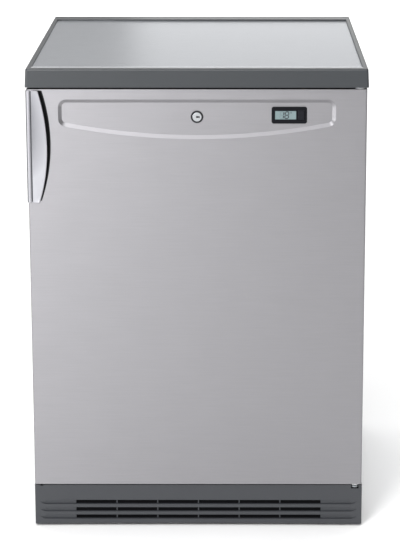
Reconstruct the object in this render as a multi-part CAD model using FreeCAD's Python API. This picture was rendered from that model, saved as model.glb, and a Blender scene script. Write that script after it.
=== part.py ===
"""Free-standing undercounter refrigerator, one solid or group of like solids per STEP file.

Millimetres. X runs across the front (+X on the right of someone facing the door), the door faces -Y
and Z points up from the floor. The origin lies on the floor in the middle of the overall box.
"""
import FreeCAD
import Part
import os
from math import cos, pi, radians, sin, sqrt, tan

V = FreeCAD.Vector

# ---- driving dimensions ----------------------------------------------------------------------------

# overall
width = 600.0             # worktop, the widest piece
depth = 640.0             # front of the grip to the rear edge of the worktop
height = 850.0            # floor to the worktop's rim
clear = 0.3               # between bodies that pass each other
running = 0.05            # radial clearance of pins and shafts in their bushes

# worktop
fascia_height = 33.0
fascia_draft = 1.5        # each side, from bottom to top
frame_wall = 3.0
frame_corner = 4.0        # vertical corners
frame_edge = 3.0          # rounding of the top edge
rim_side = 10.0
rim_front = 16.0
rim_rear = 42.0
rim_height = 3.0          # rim above the plate
cap_inset = 11.0          # screw caps in the rear corners, from both edges
cap_radius = 4.5
cap_groove = 0.8
plate_thickness = 1.0
board_thickness = 18.0
board_ledge = 9.0         # strip of the frame under the board's edge

# door
grip_ahead = 10.0         # grip in front of the fascia
door_setback = 6.0        # door face behind the fascia
door_gap_side = 2.5       # worktop beyond the door, each side
door_thickness = 55.0
door_corner = 3.0         # rounding of the upright front edges
door_sheet = 1.0
door_gap_top = 4.0        # door to fascia
door_gap_bottom = 3.0     # door to plinth
cap_thickness = 2.5
panel_sheet = 1.5         # door inner panel
gasket_thickness = 10.0   # closed
gasket_band = 13.0
gasket_lap = 3.0          # gasket outside the compartment opening
bulge_inset = 13.0        # inner panel's raised middle, inside the opening
bulge_reach = 14.0        # how far it enters the opening

# pressed recess in the door
recess_inset = 54.5       # from the door's sides
recess_drop = 18.0        # below the door's top edge
recess_side = 46.0        # height of its straight ends
recess_sag = 24.5         # lower edge, ends to middle
recess_depth = 4.5
recess_slope = 6.3        # width of its sloping walls
recess_corner = 14.0

# lock
lock_drop = 49.5          # centre below the door's top edge
lock_ring_radius = 11.0
lock_face_radius = 8.0
lock_plug_radius = 5.5
lock_barrel_radius = 7.0
lock_ring_proud = 1.5
lock_barrel_length = 21.0
keyway_width = 2.6
keyway_length = 7.0
cam_width = 8.0
cam_thickness = 2.5
cam_reach = 60.0
strike_play = 1.5         # cam to strike, fore and aft

# display
display_inset = 136.0     # centre from the door's hinge side
display_drop = 46.5       # centre below the door's top edge
display_width = 62.0
display_height = 30.0
display_corner = 4.0
display_proud = 1.5
display_body = 12.0
display_lip = 2.5         # flange outside the body
lcd_width = 37.0
lcd_height = 15.0
lcd_offset = -6.5         # window centre from the display's centre
lcd_sink = 0.6
lcd_thickness = 3.0
button_width = 11.0
button_height = 17.0
button_offset = 20.5
button_travel = 0.8
button_length = 6.0

# grip
grip_drop = 2.0           # below the door's top edge
grip_length = 200.0
grip_end = 21.5           # width at its ends
grip_sag = 15.5           # extra width in the middle
grip_bead = 7.0
grip_side = 1.6           # thickness outside the door's side
grip_wrap = 24.0          # along the door's side
grip_plate = 3.2
grip_groove = 1.3
grip_least_proud = 4.5     # of the free edge, at the lower end
grip_swell = 0.2          # of the skin between its sections
grip_lift_start = 0.16    # where the top end lies on the half wave of its lift
pocket_depth = 15.0
pocket_wall = 1.5
pocket_gap_top = 5.0      # opening beside the grip's edge
pocket_gap_bottom = 1.2
pocket_gap_extra = 0.7    # in the middle, over the mean of the two

# cabinet
rear_gap = 45.0           # worktop overhang behind the rear panel, over the condenser
base_height = 20.0
sheet = 1.0
foam_side = 32.0
foam_top = 32.0
foam_rear = 38.0
foam_floor = 40.0
floor_height = 66.0       # underside of the foam floor
bay_depth = 180.0         # compressor bay, from the rear panel forward
bay_height = 235.0        # top of the compressor bay
liner_sheet = 1.5
tray_sheet = 1.5
tray_lip = 22.0
vent_count = 8
vent_length = 40.0
vent_width = 12.0
vent_margin = 32.0        # from the feet's centres
vent_back = 185.0         # behind the cabinet's front

# shelves
shelf_count = 3
shelf_step_gap = 23.0     # lowest shelf above the step in the compartment floor
shelf_top_gap = 169.0     # highest shelf below the ceiling
shelf_side_gap = 4.0
shelf_rod = 3.0           # radius of the frame rod
shelf_wire = 1.5          # radius of the wires
shelf_wires = 19
shelf_front_gap = 45.0    # shelf to the door's inner panel
shelf_rear_gap = 20.0
shelf_upstand = 22.0
ledge_reach = 12.0
ledge_height = 7.0

# evaporator plate
evaporator_inset = 68.0   # from the compartment's side walls
evaporator_gap = 7.5      # plate to the rear wall
evaporator_rise = 372.0   # above the compartment floor
evaporator_drop = 42.0    # below its ceiling
evaporator_sheet = 1.5
post_inset = 14.0         # stand-offs from its corners
passage_rows = 7
passage_radius = 2.6
passage_inset = 30.0      # from its sides
passage_drop = 28.0       # from its top and bottom

# thermostat
housing_half = 52.0
housing_inset = 90.0      # centre from the compartment's side wall
housing_drop = 34.0
housing_ahead = 10.0      # of the shelves' front
housing_length = 105.0
knob_radius = 14.5
knob_length = 13.0
knob_rise = 17.0          # shaft above the housing's underside
knob_shaft = 3.0          # radius
knob_flutes = 16

# plinth
plinth_gap_side = 1.5     # worktop beyond the plinth, each side
plinth_height = 76.0
plinth_floor_gap = 4.0
plinth_setback = 4.0      # behind the door's face
plinth_wall = 4.0
plinth_arch = 2.0         # rise of the lower edge in the middle
slot_inset = 75.0         # from the plinth's ends
slot_height = 7.4
slot_pitch = 14.2
slot_drop = 29.6          # top of the first slot below the plinth's top
groove_inset = 21.5       # from the plinth's ends
groove_depth = 2.2
groove_sweep = 15.0       # how far its ends curve on and up

# hinges
hinge_inset = 12.0        # axis from the door's side
hinge_back = 12.0         # axis behind the door's face
hinge_pin_radius = 4.0
hinge_bush_wall = 2.0
hinge_bush_length = 14.0
hinge_flange_radius = 8.5
hinge_flange = 2.6
hinge_plate = 3.0
hinge_nose = 8.0
hinge_plate_width = 54.0
hinge_plate_sink = 1.5    # lower plate's top below the plinth's

# feet and rollers
foot_inset = 42.0
foot_back = 34.0          # behind the cabinet's front
foot_radius = 20.0
foot_pad = 8.0
foot_hex = 22.0
stem_radius = 5.0
stem_length = 32.0
nut_height = 8.0
roller_radius = 9.0
roller_width = 16.0
roller_back = 40.0        # in front of the cabinet's rear
axle_radius = 2.0
ear_thickness = 2.0

# condenser
tube_radius = 2.5
tube_runs = 13
tube_inset = 82.5         # from the cabinet's sides
wire_radius = 0.8
wire_count = 34           # both faces together
tube_stub = 30.0          # tails of the serpentine below its lowest run
inlet_ahead = 22.0        # inlet tail outside the runs
bracket_half = 12.0
condenser_gap = 27.0      # tube centre behind the rear panel
condenser_rise = 45.0     # lowest run above the compressor bay
condenser_drop = 81.0     # highest run below the cabinet's top

# compressor
can_radius = 78.0
can_height = 150.0
can_inset = 202.5         # centre from the cabinet's right side
can_weld = 3.0
can_lift = 16.0           # base plate above the tray
can_plate = 3.0           # base plate's thickness
can_plate_x = 100.0       # its half sizes
can_plate_y = 62.0
can_corner = 14.0         # bolts from its edges
stub_length = 14.0
stub_aside = 18.0
upper_stub = 85.0         # above the base plate
lower_stub = 40.0
relay_aside = 40.0        # terminal box's middle beside the can
relay_back = 18.0         # its face in front of the cabinet's rear
drier_inset = 147.5       # from the cabinet's left side
drier_back = 40.0         # in front of the cabinet's rear
drier_low = 78.0
drier_length = 100.0
capillary_radius = 1.2
coil_radius = 24.0

# ---- places worked out from them -------------------------------------------------------------------

fascia_y = -depth / 2 + grip_ahead
rear_y = depth / 2
fascia_z = height - fascia_height
plate_z = height - rim_height

door_y = fascia_y + door_setback
door_back = door_y + door_thickness
door_half = width / 2 - door_gap_side
door_top = fascia_z - door_gap_top
plinth_top = plinth_floor_gap + plinth_height
door_bottom = plinth_top + door_gap_bottom

cabinet_y = door_back + gasket_thickness
cabinet_back = rear_y - rear_gap
cabinet_half = door_half
cabinet_top = fascia_z
inside_half = cabinet_half - sheet - foam_side - liner_sheet
inside_floor = floor_height + foam_floor + liner_sheet
inside_top = cabinet_top - sheet - foam_top - liner_sheet
inside_back = cabinet_back - sheet - foam_rear - liner_sheet
bay_front = cabinet_back - bay_depth
step_front = bay_front - sheet - foam_rear - liner_sheet
step_top = bay_height + foam_floor + liner_sheet

plinth_half = width / 2 - plinth_gap_side
slot_half = plinth_half - slot_inset
groove_half = plinth_half - groove_inset

hinge_x = door_half - hinge_inset
hinge_y = door_y + hinge_back
bush_radius = hinge_pin_radius + running + hinge_bush_wall
lower_plate_z = plinth_top - hinge_plate_sink

recess_half = door_half - recess_inset
recess_top = door_top - recess_drop
recess_floor = door_y + recess_depth
lock_z = door_top - lock_drop
display_x = door_half - display_inset
display_z = door_top - display_drop
cam_y = recess_floor - lock_ring_proud + lock_barrel_length + clear

grip_top = door_top - grip_drop
grip_bottom = grip_top - grip_length
grip_left = -door_half - grip_side
grip_front = -depth / 2
grip_max_proud = door_y - grip_front - grip_swell

bulge_half = inside_half - bulge_inset
bulge_back = cabinet_y + bulge_reach
plinth_y = door_y + plinth_setback
foot_y = cabinet_y + foot_back
foot_x = cabinet_half - foot_inset
roller_y = cabinet_back - roller_back
condenser_y = cabinet_back + condenser_gap
condenser_z = bay_height + condenser_rise
tube_half = cabinet_half - tube_inset
bracket_rows = (0.5, tube_runs - 1.5)
tube_pitch = (cabinet_top - condenser_drop - condenser_z) / (tube_runs - 1)
vent_y = cabinet_y + vent_back
can_x = cabinet_half - can_inset
can_y = (bay_front + cabinet_back) / 2
can_z = base_height + tray_sheet + can_lift
can_low = can_z + can_plate
relay_x = can_x - can_radius - relay_aside
relay_face = cabinet_back - relay_back
drier_x = -cabinet_half + drier_inset
drier_y = cabinet_back - drier_back
drier_high = drier_low + drier_length
shelf_front = bulge_back + shelf_front_gap
shelf_back = inside_back - shelf_rear_gap
shelf_half = inside_half - shelf_side_gap
shelf_low = step_top + shelf_step_gap
shelf_high = inside_top - shelf_top_gap
shelf_seats = [shelf_low + (shelf_high - shelf_low) * n / (shelf_count - 1)
               for n in range(shelf_count)]
evaporator_half = inside_half - evaporator_inset
housing_x = inside_half - housing_inset
housing_y = shelf_front - housing_ahead
housing_z = inside_top - housing_drop
knob_z = housing_z + knob_rise
evaporator_low = inside_floor + evaporator_rise
evaporator_high = inside_top - evaporator_drop


# ---- helpers ---------------------------------------------------------------------------------------

def block(x0, x1, y0, y1, z0, z1):
    """Box between two corners."""
    return Part.makeBox(x1 - x0, y1 - y0, z1 - z0, V(x0, y0, z0))


def rod(radius, start, end):
    """Round bar between two points."""
    start, end = V(*start), V(*end)
    return Part.makeCylinder(radius, (end - start).Length, start, end - start)


def prism(points, along):
    """Flat polygon pushed along a vector."""
    loop = [V(*p) for p in points]
    return Part.Face(Part.makePolygon(loop + [loop[0]])).extrude(V(*along))


def fuse(shapes):
    """One solid from touching ones, with the seams taken out."""
    return shapes[0].multiFuse(shapes[1:]).removeSplitter()


def group(shapes):
    """Separate like pieces that share a node."""
    return Part.makeCompound(shapes)


def mirrored(shape):
    """Copy on the other side of the X = 0 plane."""
    return shape.mirror(V(0, 0, 0), V(1, 0, 0))


def rounded(shape, radius, wanted):
    """Fillet the edges whose bounding box and midpoint pass a test."""
    edges = [edge for edge in shape.Edges if wanted(edge.BoundBox)]
    return shape.makeFillet(radius, edges)


def upright(box):
    """An edge that runs straight up."""
    return box.XLength < 0.01 and box.YLength < 0.01


def fore_and_aft(box):
    """An edge that runs along Y."""
    return box.XLength < 0.01 and box.ZLength < 0.01


def rounded_block(x0, x1, y0, y1, z0, z1, radius):
    """Box with rounded upright edges."""
    return rounded(block(x0, x1, y0, y1, z0, z1), radius, upright)


def bent_path(points, bend):
    """Straight runs joined by tangent arcs of one radius."""
    corners = [V(*p) for p in points]
    edges = []
    start = corners[0]
    for before, corner, after in zip(corners, corners[1:], corners[2:]):
        inward = (before - corner).normalize()
        outward = (after - corner).normalize()
        half = inward.getAngle(outward) / 2
        entry = corner + inward * (bend / tan(half))
        leave = corner + outward * (bend / tan(half))
        middle = corner + (inward + outward).normalize() * (bend / sin(half) - bend)
        if (entry - start).Length > 0.01:
            edges.append(Part.LineSegment(start, entry).toShape())
        edges.append(Part.Arc(entry, middle, leave).toShape())
        start = leave
    edges.append(Part.LineSegment(start, corners[-1]).toShape())
    return Part.Wire(edges)


def bent_rod(radius, points, bend):
    """Round rod along straight runs and tangent arcs."""
    path = bent_path(points, bend)
    start = V(*points[0])
    circle = Part.Wire(Part.makeCircle(radius, start, V(*points[1]) - start))
    return path.makePipeShell([circle], True, True)


def ring(outer, inner, y0, y1):
    """Frame in the XZ plane: outer and inner are (half width, bottom, top)."""
    body = block(-outer[0], outer[0], y0, y1, outer[1], outer[2])
    return body.cut(block(-inner[0], inner[0], y0 - 1, y1 + 1, inner[1], inner[2]))


def screw_head(centre, along, radius=3.6, thickness=2.0):
    """Pan head with a cross recess, standing on a surface whose normal is 'along'."""
    centre, along = V(*centre), V(*along)
    head = Part.makeCylinder(radius, thickness, centre, along)
    head = head.makeFillet(thickness * 0.45, [head.Edges[0]])
    side = along.cross(V(0.36, 0.48, 0.8)).normalize()
    slots = []
    for direction in (side, along.cross(side)):
        slot = Part.makeCylinder(0.55, 2.4 * radius / 2, V(0, 0, 0), direction)
        slots.append(slot.translated(centre + along * thickness - direction * radius * 0.6))
    return head.cut(slots[0].fuse(slots[1]))


# ---- worktop ---------------------------------------------------------------------------------------

def worktop_blank(inset, z0, z1):
    """Tapered rounded slab, inset from the frame's outside."""
    loops = []
    for z in (fascia_z, height):
        back = inset + fascia_draft * (z - fascia_z) / fascia_height
        loops.append((z, back))
    wires = []
    for z, back in loops:
        slab = rounded_block(-width / 2 + back, width / 2 - back, fascia_y + back, rear_y - inset,
                             z, z + 1, max(frame_corner - inset, 0.8))
        bottom = [face for face in slab.Faces if face.BoundBox.ZMax < z + 0.01][0]
        wires.append(bottom.OuterWire)
    solid = Part.makeLoft(wires, True, True)
    return solid.common(block(-width, width, -depth, depth, z0, z1))


def pocket_box(grow, z0, z1):
    """Space for the board and plate, grown sideways."""
    return block(-width / 2 + rim_side - grow, width / 2 - rim_side + grow,
                 fascia_y + rim_front - grow, rear_y - rim_rear + grow, z0, z1)


def cap_groove_ring(side):
    """Groove round the screw cap in one rear corner."""
    centre = V(side * (width / 2 - cap_inset), rear_y - cap_inset, height - cap_groove)
    tall = 2 * cap_groove
    return Part.makeCylinder(cap_radius, tall, centre).cut(
        Part.makeCylinder(cap_radius - cap_groove, tall, centre))


def worktop_frame():
    outer = worktop_blank(0, fascia_z, height)
    outer = rounded(outer, frame_edge, lambda b: b.ZMin > height - 0.01)
    hollow = worktop_blank(frame_wall, fascia_z, height - frame_wall)
    seat_z = plate_z - plate_thickness - board_thickness
    wall = pocket_box(frame_wall, seat_z - frame_wall, height - frame_wall)
    body = outer.cut(hollow).fuse(wall)
    body = body.cut(pocket_box(0, seat_z, height + 1))
    body = body.cut(pocket_box(-board_ledge, fascia_z - 1, height + 1))
    body = body.removeSplitter()
    return body.cut(group([cap_groove_ring(-1), cap_groove_ring(1)]))


def worktop_board():
    seat_z = plate_z - plate_thickness - board_thickness
    return pocket_box(-clear, seat_z, seat_z + board_thickness)


def worktop_panel():
    return pocket_box(-clear, plate_z - plate_thickness, plate_z)


# ---- cabinet ---------------------------------------------------------------------------------------

def side_panel():
    panel = block(cabinet_half - sheet, cabinet_half, cabinet_y + sheet, cabinet_back,
                  base_height + tray_sheet, cabinet_top)
    return mirrored(panel), panel


def top_panel():
    half = cabinet_half - sheet
    return block(-half, half, cabinet_y + sheet, cabinet_back, cabinet_top - sheet, cabinet_top)


def rear_panel():
    half = cabinet_half - sheet
    return block(-half, half, cabinet_back - sheet, cabinet_back, bay_height, cabinet_top - sheet)


def bottom_panel():
    """Bent sheet under the floor and round the compressor bay."""
    half = cabinet_half - sheet
    profile = [(0, cabinet_y + sheet, floor_height - sheet), (0, bay_front, floor_height - sheet),
               (0, bay_front, bay_height - sheet), (0, cabinet_back - sheet, bay_height - sheet),
               (0, cabinet_back - sheet, bay_height), (0, bay_front - sheet, bay_height),
               (0, bay_front - sheet, floor_height), (0, cabinet_y + sheet, floor_height)]
    return prism(profile, (2 * half, 0, 0)).translated(V(-half, 0, 0))


def face_frame():
    """Steel face that the gasket closes on."""
    return ring((cabinet_half, door_bottom - 2, cabinet_top - clear),
                (inside_half, inside_floor, inside_top), cabinet_y, cabinet_y + sheet)


def stepped(half, front, back, floor, top, step_y, step_z):
    """Block with a step cut out of its lower rear edge."""
    profile = [(0, front, floor), (0, step_y, floor), (0, step_y, step_z), (0, back, step_z),
               (0, back, top), (0, front, top)]
    return prism(profile, (2 * half, 0, 0)).translated(V(-half, 0, 0))


def inside_space(grow, front):
    """The compartment, grown by a wall thickness."""
    return stepped(inside_half + grow, front, inside_back + grow, inside_floor - grow,
                   inside_top + grow, step_front + grow, step_top - grow)


def insulation_foam():
    outer = stepped(cabinet_half - sheet, cabinet_y + sheet, cabinet_back - sheet, floor_height,
                    cabinet_top - sheet, bay_front - sheet, bay_height)
    return outer.cut(inside_space(liner_sheet, cabinet_y - 1))


def inner_liner():
    shell = inside_space(liner_sheet, cabinet_y + sheet).cut(inside_space(0, cabinet_y))
    pieces = [shell]
    for top in shelf_seats:
        ledge = block(inside_half - ledge_reach, inside_half + liner_sheet / 2, shelf_front - 8,
                      shelf_back + 6, top - ledge_height, top)
        ledge = rounded(ledge, 2.5, lambda b: b.XMax < inside_half - ledge_reach + 0.01
                        and b.YLength > 100)
        pieces += [ledge, mirrored(ledge)]
    return fuse(pieces + evaporator_posts())


def base_tray():
    """Pressed tray under the whole machine, with a vented front upstand."""
    half = cabinet_half - sheet
    z0, z1 = base_height, base_height + tray_sheet
    y0, y1 = cabinet_y + sheet, cabinet_back
    floor = block(-cabinet_half, cabinet_half, y0, y1, z0, z1)
    front = block(-half, half, y0, y0 + tray_sheet, z0, floor_height - sheet)
    front = front.cut(block(-slot_half, slot_half, y0 - 1, y0 + tray_sheet + 1, z1 + 6,
                            floor_height - sheet - 8))
    side = block(half - tray_sheet, half, y0, y1, z0, z0 + tray_lip)
    rear = block(-half, half, y1 - tray_sheet, y1, z0, z0 + tray_lip)
    tray = fuse([floor, front, side, mirrored(side), rear])
    holes = [rod(stem_radius + clear, (side_x, foot_y, z0 - 1), (side_x, foot_y, z1 + 1))
             for side_x in (-foot_x, foot_x)]
    pitch = 2 * (foot_x - vent_margin) / vent_count
    starts = [-foot_x + vent_margin + pitch * (n + 0.5) - vent_length / 2 for n in range(vent_count)]
    vents = [block(x, x + vent_length, vent_y, vent_y + vent_width, z0 - 1, z1 + 1) for x in starts]
    tray = tray.cut(group(holes + vents))
    return fuse([tray] + weld_nuts())


# ---- compartment fittings --------------------------------------------------------------------------

def shelf(seat):
    """Wire shelf: rod frame, two cross rods, wires running front to back and a rear staple."""
    z = seat + clear + shelf_rod
    corner = 10.0
    x1 = shelf_half - shelf_rod
    y0, y1 = shelf_front + shelf_rod, shelf_back - shelf_rod
    frame = bent_rod(shelf_rod, [(0, y0, z), (x1, y0, z), (x1, y1, z), (0, y1, z)], corner)
    pieces = [frame, mirrored(frame)]
    pieces.append(rod(shelf_rod * 0.9, (-x1, y1 - 12, z), (x1, y1 - 12, z)))
    pieces.append(rod(shelf_rod * 0.9, (-x1, (y0 + y1) / 2, z), (x1, (y0 + y1) / 2, z)))
    lift = z + shelf_rod * 0.9 + shelf_wire * 0.6
    for n in range(shelf_wires):
        x = -x1 + 2 * x1 * (n + 1) / (shelf_wires + 1)
        pieces.append(rod(shelf_wire, (x, y0 - shelf_rod * 0.4, lift), (x, y1 - 9, lift)))
    grid = fuse(pieces)
    foot = x1 - 2 * corner
    up = z + shelf_upstand
    staple = bent_rod(shelf_rod, [(-foot, y1, z), (-foot, y1, up), (foot, y1, up), (foot, y1, z)],
                      corner)
    return group([grid, staple.cut(grid)])


def evaporator_plate():
    """Roll-bonded plate in front of the rear wall, with raised passages."""
    half, low, high = evaporator_half, evaporator_low, evaporator_high
    y = inside_back - evaporator_gap - evaporator_sheet
    plate = rounded(block(-half, half, y, y + evaporator_sheet, low, high), 10, fore_and_aft)
    pitch = (high - low - 2 * passage_drop) / (passage_rows - 1)
    reach = half - passage_inset
    ridges = []
    for n in range(passage_rows):
        z = low + passage_drop + n * pitch
        ridges.append(rod(passage_radius, (-reach, y, z), (reach, y, z)))
        if n < passage_rows - 1:
            side = reach if n % 2 else -reach
            ridges.append(rod(passage_radius, (side, y, z), (side, y, z + pitch)))
    behind = block(-half, half, y + evaporator_sheet, y + 9, low, high)
    return fuse([plate] + ridges).cut(behind)


def evaporator_posts():
    """Stand-offs moulded on the liner's rear wall."""
    return [rod(5, (x, inside_back - evaporator_gap, z), (x, inside_back + liner_sheet / 2, z))
            for x in (-evaporator_half + post_inset, evaporator_half - post_inset)
            for z in (evaporator_low + post_inset, evaporator_high - post_inset)]


def thermostat_housing():
    body = block(housing_x - housing_half, housing_x + housing_half, housing_y,
                 housing_y + housing_length, housing_z, inside_top)
    body = rounded(body, 5, lambda b: b.ZMax < housing_z + 0.01)
    return body.cut(rod(knob_shaft + running, (housing_x, housing_y - 1, knob_z),
                        (housing_x, housing_y + 14, knob_z)))


def thermostat_knob():
    """Fluted knob on its shaft, with a raised pointer."""
    front = housing_y - clear - knob_length
    body = rod(knob_radius, (housing_x, front, knob_z), (housing_x, housing_y - clear, knob_z))
    body = rounded(body, 2, lambda b: b.YMax < front + 0.01 and b.XLength > knob_radius)
    flutes = []
    for n in range(knob_flutes):
        angle = 2 * pi * (n + 0.5) / knob_flutes
        x = housing_x + (knob_radius + 1.2) * cos(angle)
        z = knob_z + (knob_radius + 1.2) * sin(angle)
        flutes.append(rod(2, (x, front - 1, z), (x, housing_y - 4, z)))
    body = body.cut(group(flutes))
    pointer = block(housing_x - 1.2, housing_x + 1.2, front - 0.8, front + 1, knob_z + 3,
                    knob_z + knob_radius - 3)
    shaft = rod(knob_shaft, (housing_x, housing_y - clear - 1, knob_z),
                (housing_x, housing_y + 12, knob_z))
    return fuse([body, pointer, shaft])


# ---- door ------------------------------------------------------------------------------------------

def recess(grow):
    """Pressed recess as a cutter, grown by a sheet thickness."""
    half = recess_half
    top = recess_top
    low = top - recess_side
    outline = [
        Part.LineSegment(V(-half, door_y, low), V(-half, door_y, top)).toShape(),
        Part.LineSegment(V(-half, door_y, top), V(half, door_y, top)).toShape(),
        Part.LineSegment(V(half, door_y, top), V(half, door_y, low)).toShape(),
        Part.Arc(V(half, door_y, low), V(0, door_y, low - recess_sag), V(-half, door_y, low)).toShape(),
    ]
    slab = Part.Face(Part.Wire(outline)).extrude(V(0, 1, 0))
    slab = rounded(slab, recess_corner, fore_and_aft)
    mouth = [face for face in slab.Faces if face.BoundBox.YMax < door_y + 0.01][0].OuterWire
    outer = mouth.makeOffset2D(grow) if grow else mouth
    inner = mouth.makeOffset2D(grow - recess_slope)
    ahead = Part.Face(outer).extrude(V(0, -5, 0))
    sloped = Part.makeLoft([outer, inner.translated(V(0, recess_depth + grow, 0))], True, True)
    return ahead.fuse(sloped)


def grip_edge(z):
    """Distance of the grip's free edge from its left side, at a height."""
    half = grip_length / 2
    radius = (half ** 2 + grip_sag ** 2) / (2 * grip_sag)
    off = z - (grip_top + grip_bottom) / 2
    return grip_end + sqrt(radius ** 2 - off ** 2) - (radius - grip_sag)


def grip_proud(z):
    """How far the free edge stands off the door: most above the middle, least at the lower end."""
    share = (grip_top - z) / grip_length
    lift = sin(pi * (grip_lift_start + (1 - grip_lift_start) * share))
    return max(grip_least_proud, grip_max_proud * lift)


def pocket_outline(grow, y):
    """Closed outline of the finger pocket's opening."""
    left = grip_left + grip_bead + 3 - grow
    top, low = grip_top - 1.5 + grow, grip_bottom + 4 - grow
    middle = (top + low) / 2
    gap_middle = (pocket_gap_top + pocket_gap_bottom) / 2 + pocket_gap_extra
    points = [grip_left + grip_edge(min(top, grip_top)) + pocket_gap_top + grow,
              grip_left + grip_edge(middle) + gap_middle + grow,
              grip_left + grip_edge(max(low, grip_bottom)) + pocket_gap_bottom + grow]
    edges = [
        Part.LineSegment(V(left, y, low), V(left, y, top)).toShape(),
        Part.LineSegment(V(left, y, top), V(points[0], y, top)).toShape(),
        Part.Arc(V(points[0], y, top), V(points[1], y, middle), V(points[2], y, low)).toShape(),
        Part.LineSegment(V(points[2], y, low), V(left, y, low)).toShape(),
    ]
    return Part.Face(Part.Wire(edges))


def pocket_block(grow):
    return pocket_outline(grow, door_y).extrude(V(0, pocket_depth + grow, 0))


def handle_pocket():
    inner = pocket_outline(0, door_y - 1).extrude(V(0, pocket_depth + 1, 0))
    return pocket_block(pocket_wall).cut(inner)


def grip_section(z):
    """Section of the grip at a height: side wrap, bead, groove and the leaf with its rim."""
    edge = grip_left + grip_edge(z)
    proud = grip_proud(z)
    face = door_y - grip_plate
    bead = grip_left + grip_bead
    root = bead + 2 * grip_groove
    rim = door_y - proud
    side_back = door_y + grip_wrap

    def at(x, y):
        return V(x, y, z)

    inner_x = -door_half - 0.05
    inner_y = door_y - 0.05
    lean = (proud - grip_plate) / (edge - root)
    back_y = min(rim + grip_plate, inner_y - 0.05)
    edges = [
        Part.LineSegment(at(grip_left, side_back), at(grip_left, face + 2)),
        Part.Arc(at(grip_left, face + 2), at((grip_left + bead) / 2, face - 1.2), at(bead, face + 0.6)),
        Part.Arc(at(bead, face + 0.6), at(bead + grip_groove, face + grip_groove),
                 at(root, face + 0.4)),
        Part.Arc(at(root, face + 0.4),
                 at((root + edge) / 2, (face + rim) / 2 + 0.4 - 0.08 * proud), at(edge - 1.5, rim)),
        Part.Arc(at(edge - 1.5, rim), at(edge, rim + grip_plate * 0.4), at(edge - 1.2, back_y)),
        Part.LineSegment(at(edge - 1.2, back_y),
                         at(root + 3, min(back_y + lean * (edge - root - 4), inner_y - 0.02))),
        Part.LineSegment(at(root + 3, min(back_y + lean * (edge - root - 4), inner_y - 0.02)),
                         at(root + 1, inner_y)),
        Part.LineSegment(at(root + 1, inner_y), at(inner_x, inner_y)),
        Part.LineSegment(at(inner_x, inner_y), at(inner_x, side_back)),
        Part.LineSegment(at(inner_x, side_back), at(grip_left, side_back)),
    ]
    return Part.Wire([edge_.toShape() for edge_ in edges])


def handle_grip():
    sections = 11
    heights = [grip_bottom + grip_length * n / (sections - 1) for n in range(sections)]
    return Part.makeLoft([grip_section(z) for z in heights], True, False)


def display_cut(grow, depth_in):
    """Space for the display's body behind its flange."""
    half_x = display_width / 2 - display_lip + grow
    half_z = display_height / 2 - display_lip + grow
    return block(display_x - half_x, display_x + half_x, door_y - 20, recess_floor + depth_in,
                 display_z - half_z, display_z + half_z)


def hinge_hole(radius, length, top):
    """Bush hole in the door's top or bottom, on the hinge side."""
    z = door_top if top else door_bottom
    end = z - length if top else z + length
    return rod(radius, (hinge_x, hinge_y, z + (1 if top else -1)), (hinge_x, hinge_y, end))


def cam_space():
    """Slot in the door that the lock's cam swings in, open at the door's top."""
    return block(-cam_width / 2 - 4, cam_reach + 6, cam_y - 1.5, cam_y + cam_thickness + 1.5,
                 lock_z - cam_width / 2 - 4, door_top + 1)


def door_skin():
    outer = block(-door_half, door_half, door_y, door_back - 4, door_bottom, door_top)
    outer = rounded(outer, door_corner, lambda b: upright(b) and b.YMax < door_y + 0.01)
    inner = block(-door_half + door_sheet, door_half - door_sheet, door_y + door_sheet,
                  door_back, door_bottom - 1, door_top + 1)
    inner = rounded(inner, door_corner - door_sheet,
                    lambda b: upright(b) and b.YMax < door_y + door_sheet + 0.01)
    skin = outer.cut(recess(0)).cut(inner.cut(recess(door_sheet)))
    skin = skin.cut(pocket_block(pocket_wall).translated(V(0, -1, 0)))
    skin = skin.cut(display_cut(0.2, 5))
    return skin.cut(rod(lock_barrel_radius + 0.1, (0, door_y - 5, lock_z), (0, door_y + 12, lock_z)))


def door_cap(top):
    """Plastic strip that closes the door's top or bottom."""
    z = door_top if top else door_bottom
    low = z - cap_thickness if top else z
    half = door_half - door_sheet
    cap = block(-half, half, door_y + door_sheet, door_back - panel_sheet, low, low + cap_thickness)
    cap = rounded(cap, door_corner - door_sheet, lambda b: upright(b) and b.YMax < door_y + 2)
    hole = hinge_hole(bush_radius, hinge_bush_length, top)
    cap = cap.cut(hole)
    if top:
        return cap.cut(pocket_block(pocket_wall)).cut(cam_space())
    return cap.cut(mirrored(hole))


def gasket_box(inset, y0, y1):
    """One layer of the gasket, inset from its outer edge."""
    lap = gasket_lap + gasket_band
    outer = (inside_half + lap - inset, inside_floor - lap + inset, inside_top + lap - inset)
    inner = (inside_half + gasket_lap + inset, inside_floor - gasket_lap - inset,
             inside_top + gasket_lap + inset)
    return ring(outer, inner, y0, y1)


def door_gasket():
    """Bellows gasket: foot, waist and magnet head."""
    foot = gasket_box(0, door_back, door_back + 3)
    waist = gasket_box(3, door_back + 3, cabinet_y - clear - 3.4)
    head = gasket_box(0, cabinet_y - clear - 3.4, cabinet_y - clear)
    head = rounded(head, 1.2, lambda b: b.YMin > cabinet_y - clear - 0.01)
    return fuse([foot, waist, head])


def bulge(inset):
    """Raised middle of the door's inner panel, or the hollow behind it."""
    front = door_back - panel_sheet - inset
    body = block(-bulge_half + inset, bulge_half - inset, front, bulge_back - inset,
                 inside_floor + bulge_inset + inset, inside_top - bulge_inset - inset)
    body = rounded(body, 12 - inset, fore_and_aft)
    return rounded(body, 4 - inset, lambda b: b.YMin > bulge_back - inset - 0.01)


def door_liner():
    half = door_half - door_sheet - 0.5
    plate = block(-half, half, door_back - panel_sheet, door_back, door_bottom + 0.5, door_top - 0.5)
    return plate.fuse(bulge(0)).removeSplitter().cut(bulge(panel_sheet))


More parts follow.
